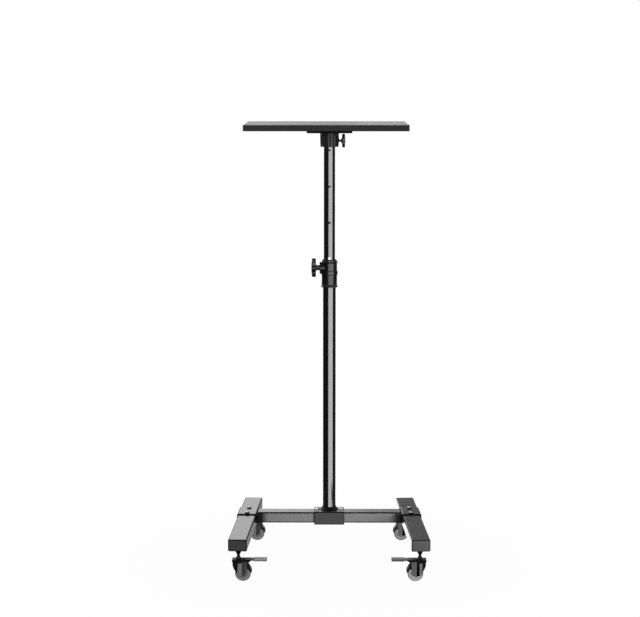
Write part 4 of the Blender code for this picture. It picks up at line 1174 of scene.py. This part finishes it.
def tyre():
    """A soft dark tread with a shallow groove, and paler flanks with a fine ring."""
    ring = lathe("tyre", mirrored((
        (wheel_radius - tyre_depth, tyre_half, 0.0004), (wheel_radius - 0.0046, tyre_half, 0.0003),
        (wheel_radius - 0.0043, tyre_half - 0.0004, 0.0002), (wheel_radius - 0.0040, tyre_half, 0.0003),
        (wheel_radius - 0.0022, tyre_half, 0.0016), (wheel_radius, 0.0052, 0.0022), (wheel_radius, 0.0014),
        (wheel_radius - 0.0004, 0.0011),
    )), ring=True)
    painted(ring, wheel_rubber)
    return paint_faces(ring, tread_rubber, lambda face: face.center.xy.length > wheel_radius - tread_depth)


def hub():
    """Rim, plain web and boss."""
    rim = wheel_radius - tyre_depth - seat_gap
    boss = cavity_half - 0.00065
    return lathe("hub", mirrored((
        (0.0028, boss, 0.0003), (0.0055, boss, 0.0004), (0.0058, 0.0025, 0.0010),
        (rim - 0.0024, 0.0025, 0.0010), (rim - 0.002, 0.0070, 0.0004), (rim, 0.0070, 0.0003),
    )), 64, ring=True)


def pedal(pivot):
    """Brake lever with its pivot pins and shoe, drawn about its pivot."""
    to_tyre = math.hypot(pivot.x - wheel_trail, pivot.y - wheel_radius) - wheel_radius
    arm_top = hood_top + 0.0005 - pivot.y
    arm_foot = arm_top - 0.0035
    middle = (arm_top + arm_foot) / 2
    arm_end = lever_reach - pivot.x
    tongue_end = pad_reach - 0.0010 - seat_gap - pivot.x
    outline = [(-0.0045, arm_top, 0.0008), (-0.0045, 0, 0.002)]
    for degrees, share in ((21, 0.83), (13, 0.895), (7, 0.93), (1, 0.96), (-5, 0.96), (-11, 0.92)):
        angle = math.radians(degrees)
        outline.append((-to_tyre * share * math.sin(angle), -to_tyre * share * math.cos(angle), 0.0002))
    outline += [
        (0.0045, 0, 0.002), (0.0045, arm_foot, 0.001), (arm_end, arm_foot, 0.0005),
        (arm_end, middle - 0.0011), (tongue_end, middle - 0.0011),
        (tongue_end, middle + 0.0011), (arm_end, middle + 0.0011), (arm_end, arm_top, 0.0005),
    ]
    lever = slab("lever", outline, 2 * cavity_half - 0.0015, 0.0005)
    return join(lever, rod("pivot_pins", 0.0018, axle_length)), arm_end, middle


def pad():
    """The moulded pad, with fine ribs across its top and underside."""
    end = pad_length / 2
    steps = pad_ribs * 6
    upper = [(-end, pad_half, 0.0012)]
    for step in range(steps + 1):
        x = -end + 0.0024 + (pad_length - 0.0048) * step / steps
        upper.append((x, pad_half - 0.00006 * (1 + math.cos(2 * math.pi * pad_ribs * step / steps)) / 2))
    upper.append((end, pad_half, 0.0016))
    outline = upper + [(x, -z, *fillet) for x, z, *fillet in reversed(upper)]
    body = slab("pad", outline, 0.0205, 0.0013, segments=3, sharpest=60)
    body.transform(upright)
    sleeve = slab("sleeve", rectangle(0.0317, 2 * cavity_half - 0.0009, 0.0002, 1), 0.0028)
    return cut(body, sleeve, shift(-0.0015, 0, 0))


def build_casters():
    """Four casters from shared forms. Wheels trail towards the middle, as the brake pedals do."""
    hoods = {"front": hood(True), "rear": hood(False)}
    stem_form = painted(stem(), stem_black)
    tyre_form = tyre()
    hub_form = painted(hub(), hub_plastic)
    axle_form = painted(rod("axle", 0.0025, axle_length), bright_steel)
    pad_form = painted(pad(), pad_plastic)
    for end in ("front", "rear"):
        for side, facing in (("left", 0), ("right", math.pi)):
            corner = f"{end}_{side}"
            x, y, _ = joints[f"{corner}_swivel"]["pos_m"]
            axes = shift(x, y, 0) @ spin(facing)
            wheel = axes @ shift(wheel_trail, 0, wheel_radius) @ along_y
            stand_for(f"{corner}_caster_stem", stem_form, shift(x, y, 0))
            stand_for(f"{corner}_caster_hood", hoods[end], axes)
            stand_for(f"{corner}_caster_axle", axle_form, wheel)
            stand_for(f"{corner}_wheel_tyre", tyre_form, wheel)
            stand_for(f"{corner}_wheel_hub", hub_form, wheel)
            if end == "front":
                pivot = Vector(joints[f"{corner}_brake"]["pos_m"])
                local = Vector((abs(pivot.x - x), pivot.z))
                lever, arm_end, middle = pedal(local)
                place = axes @ shift(local.x, 0, local.y)
                stand_for(f"{corner}_brake_pedal", lever, place @ upright, pedal_plastic)
                pad_x = arm_end + seat_gap + pad_length / 2
                stand_for(f"{corner}_pedal_pad", pad_form, place @ shift(pad_x, 0, middle))


build_camera()
build_board()
build_plate()
build_socket()
build_tray_screws()
build_tubes()
build_index_stud()
build_collar()
build_collar_bush()
build_height_knob()
build_socket_knob()
build_feet()
build_cross_tube()
build_sleeve()
build_casters()
painted(nodes["guide_bush"].data, bush_nylon)
build_world()
build_floor()
build_lights()
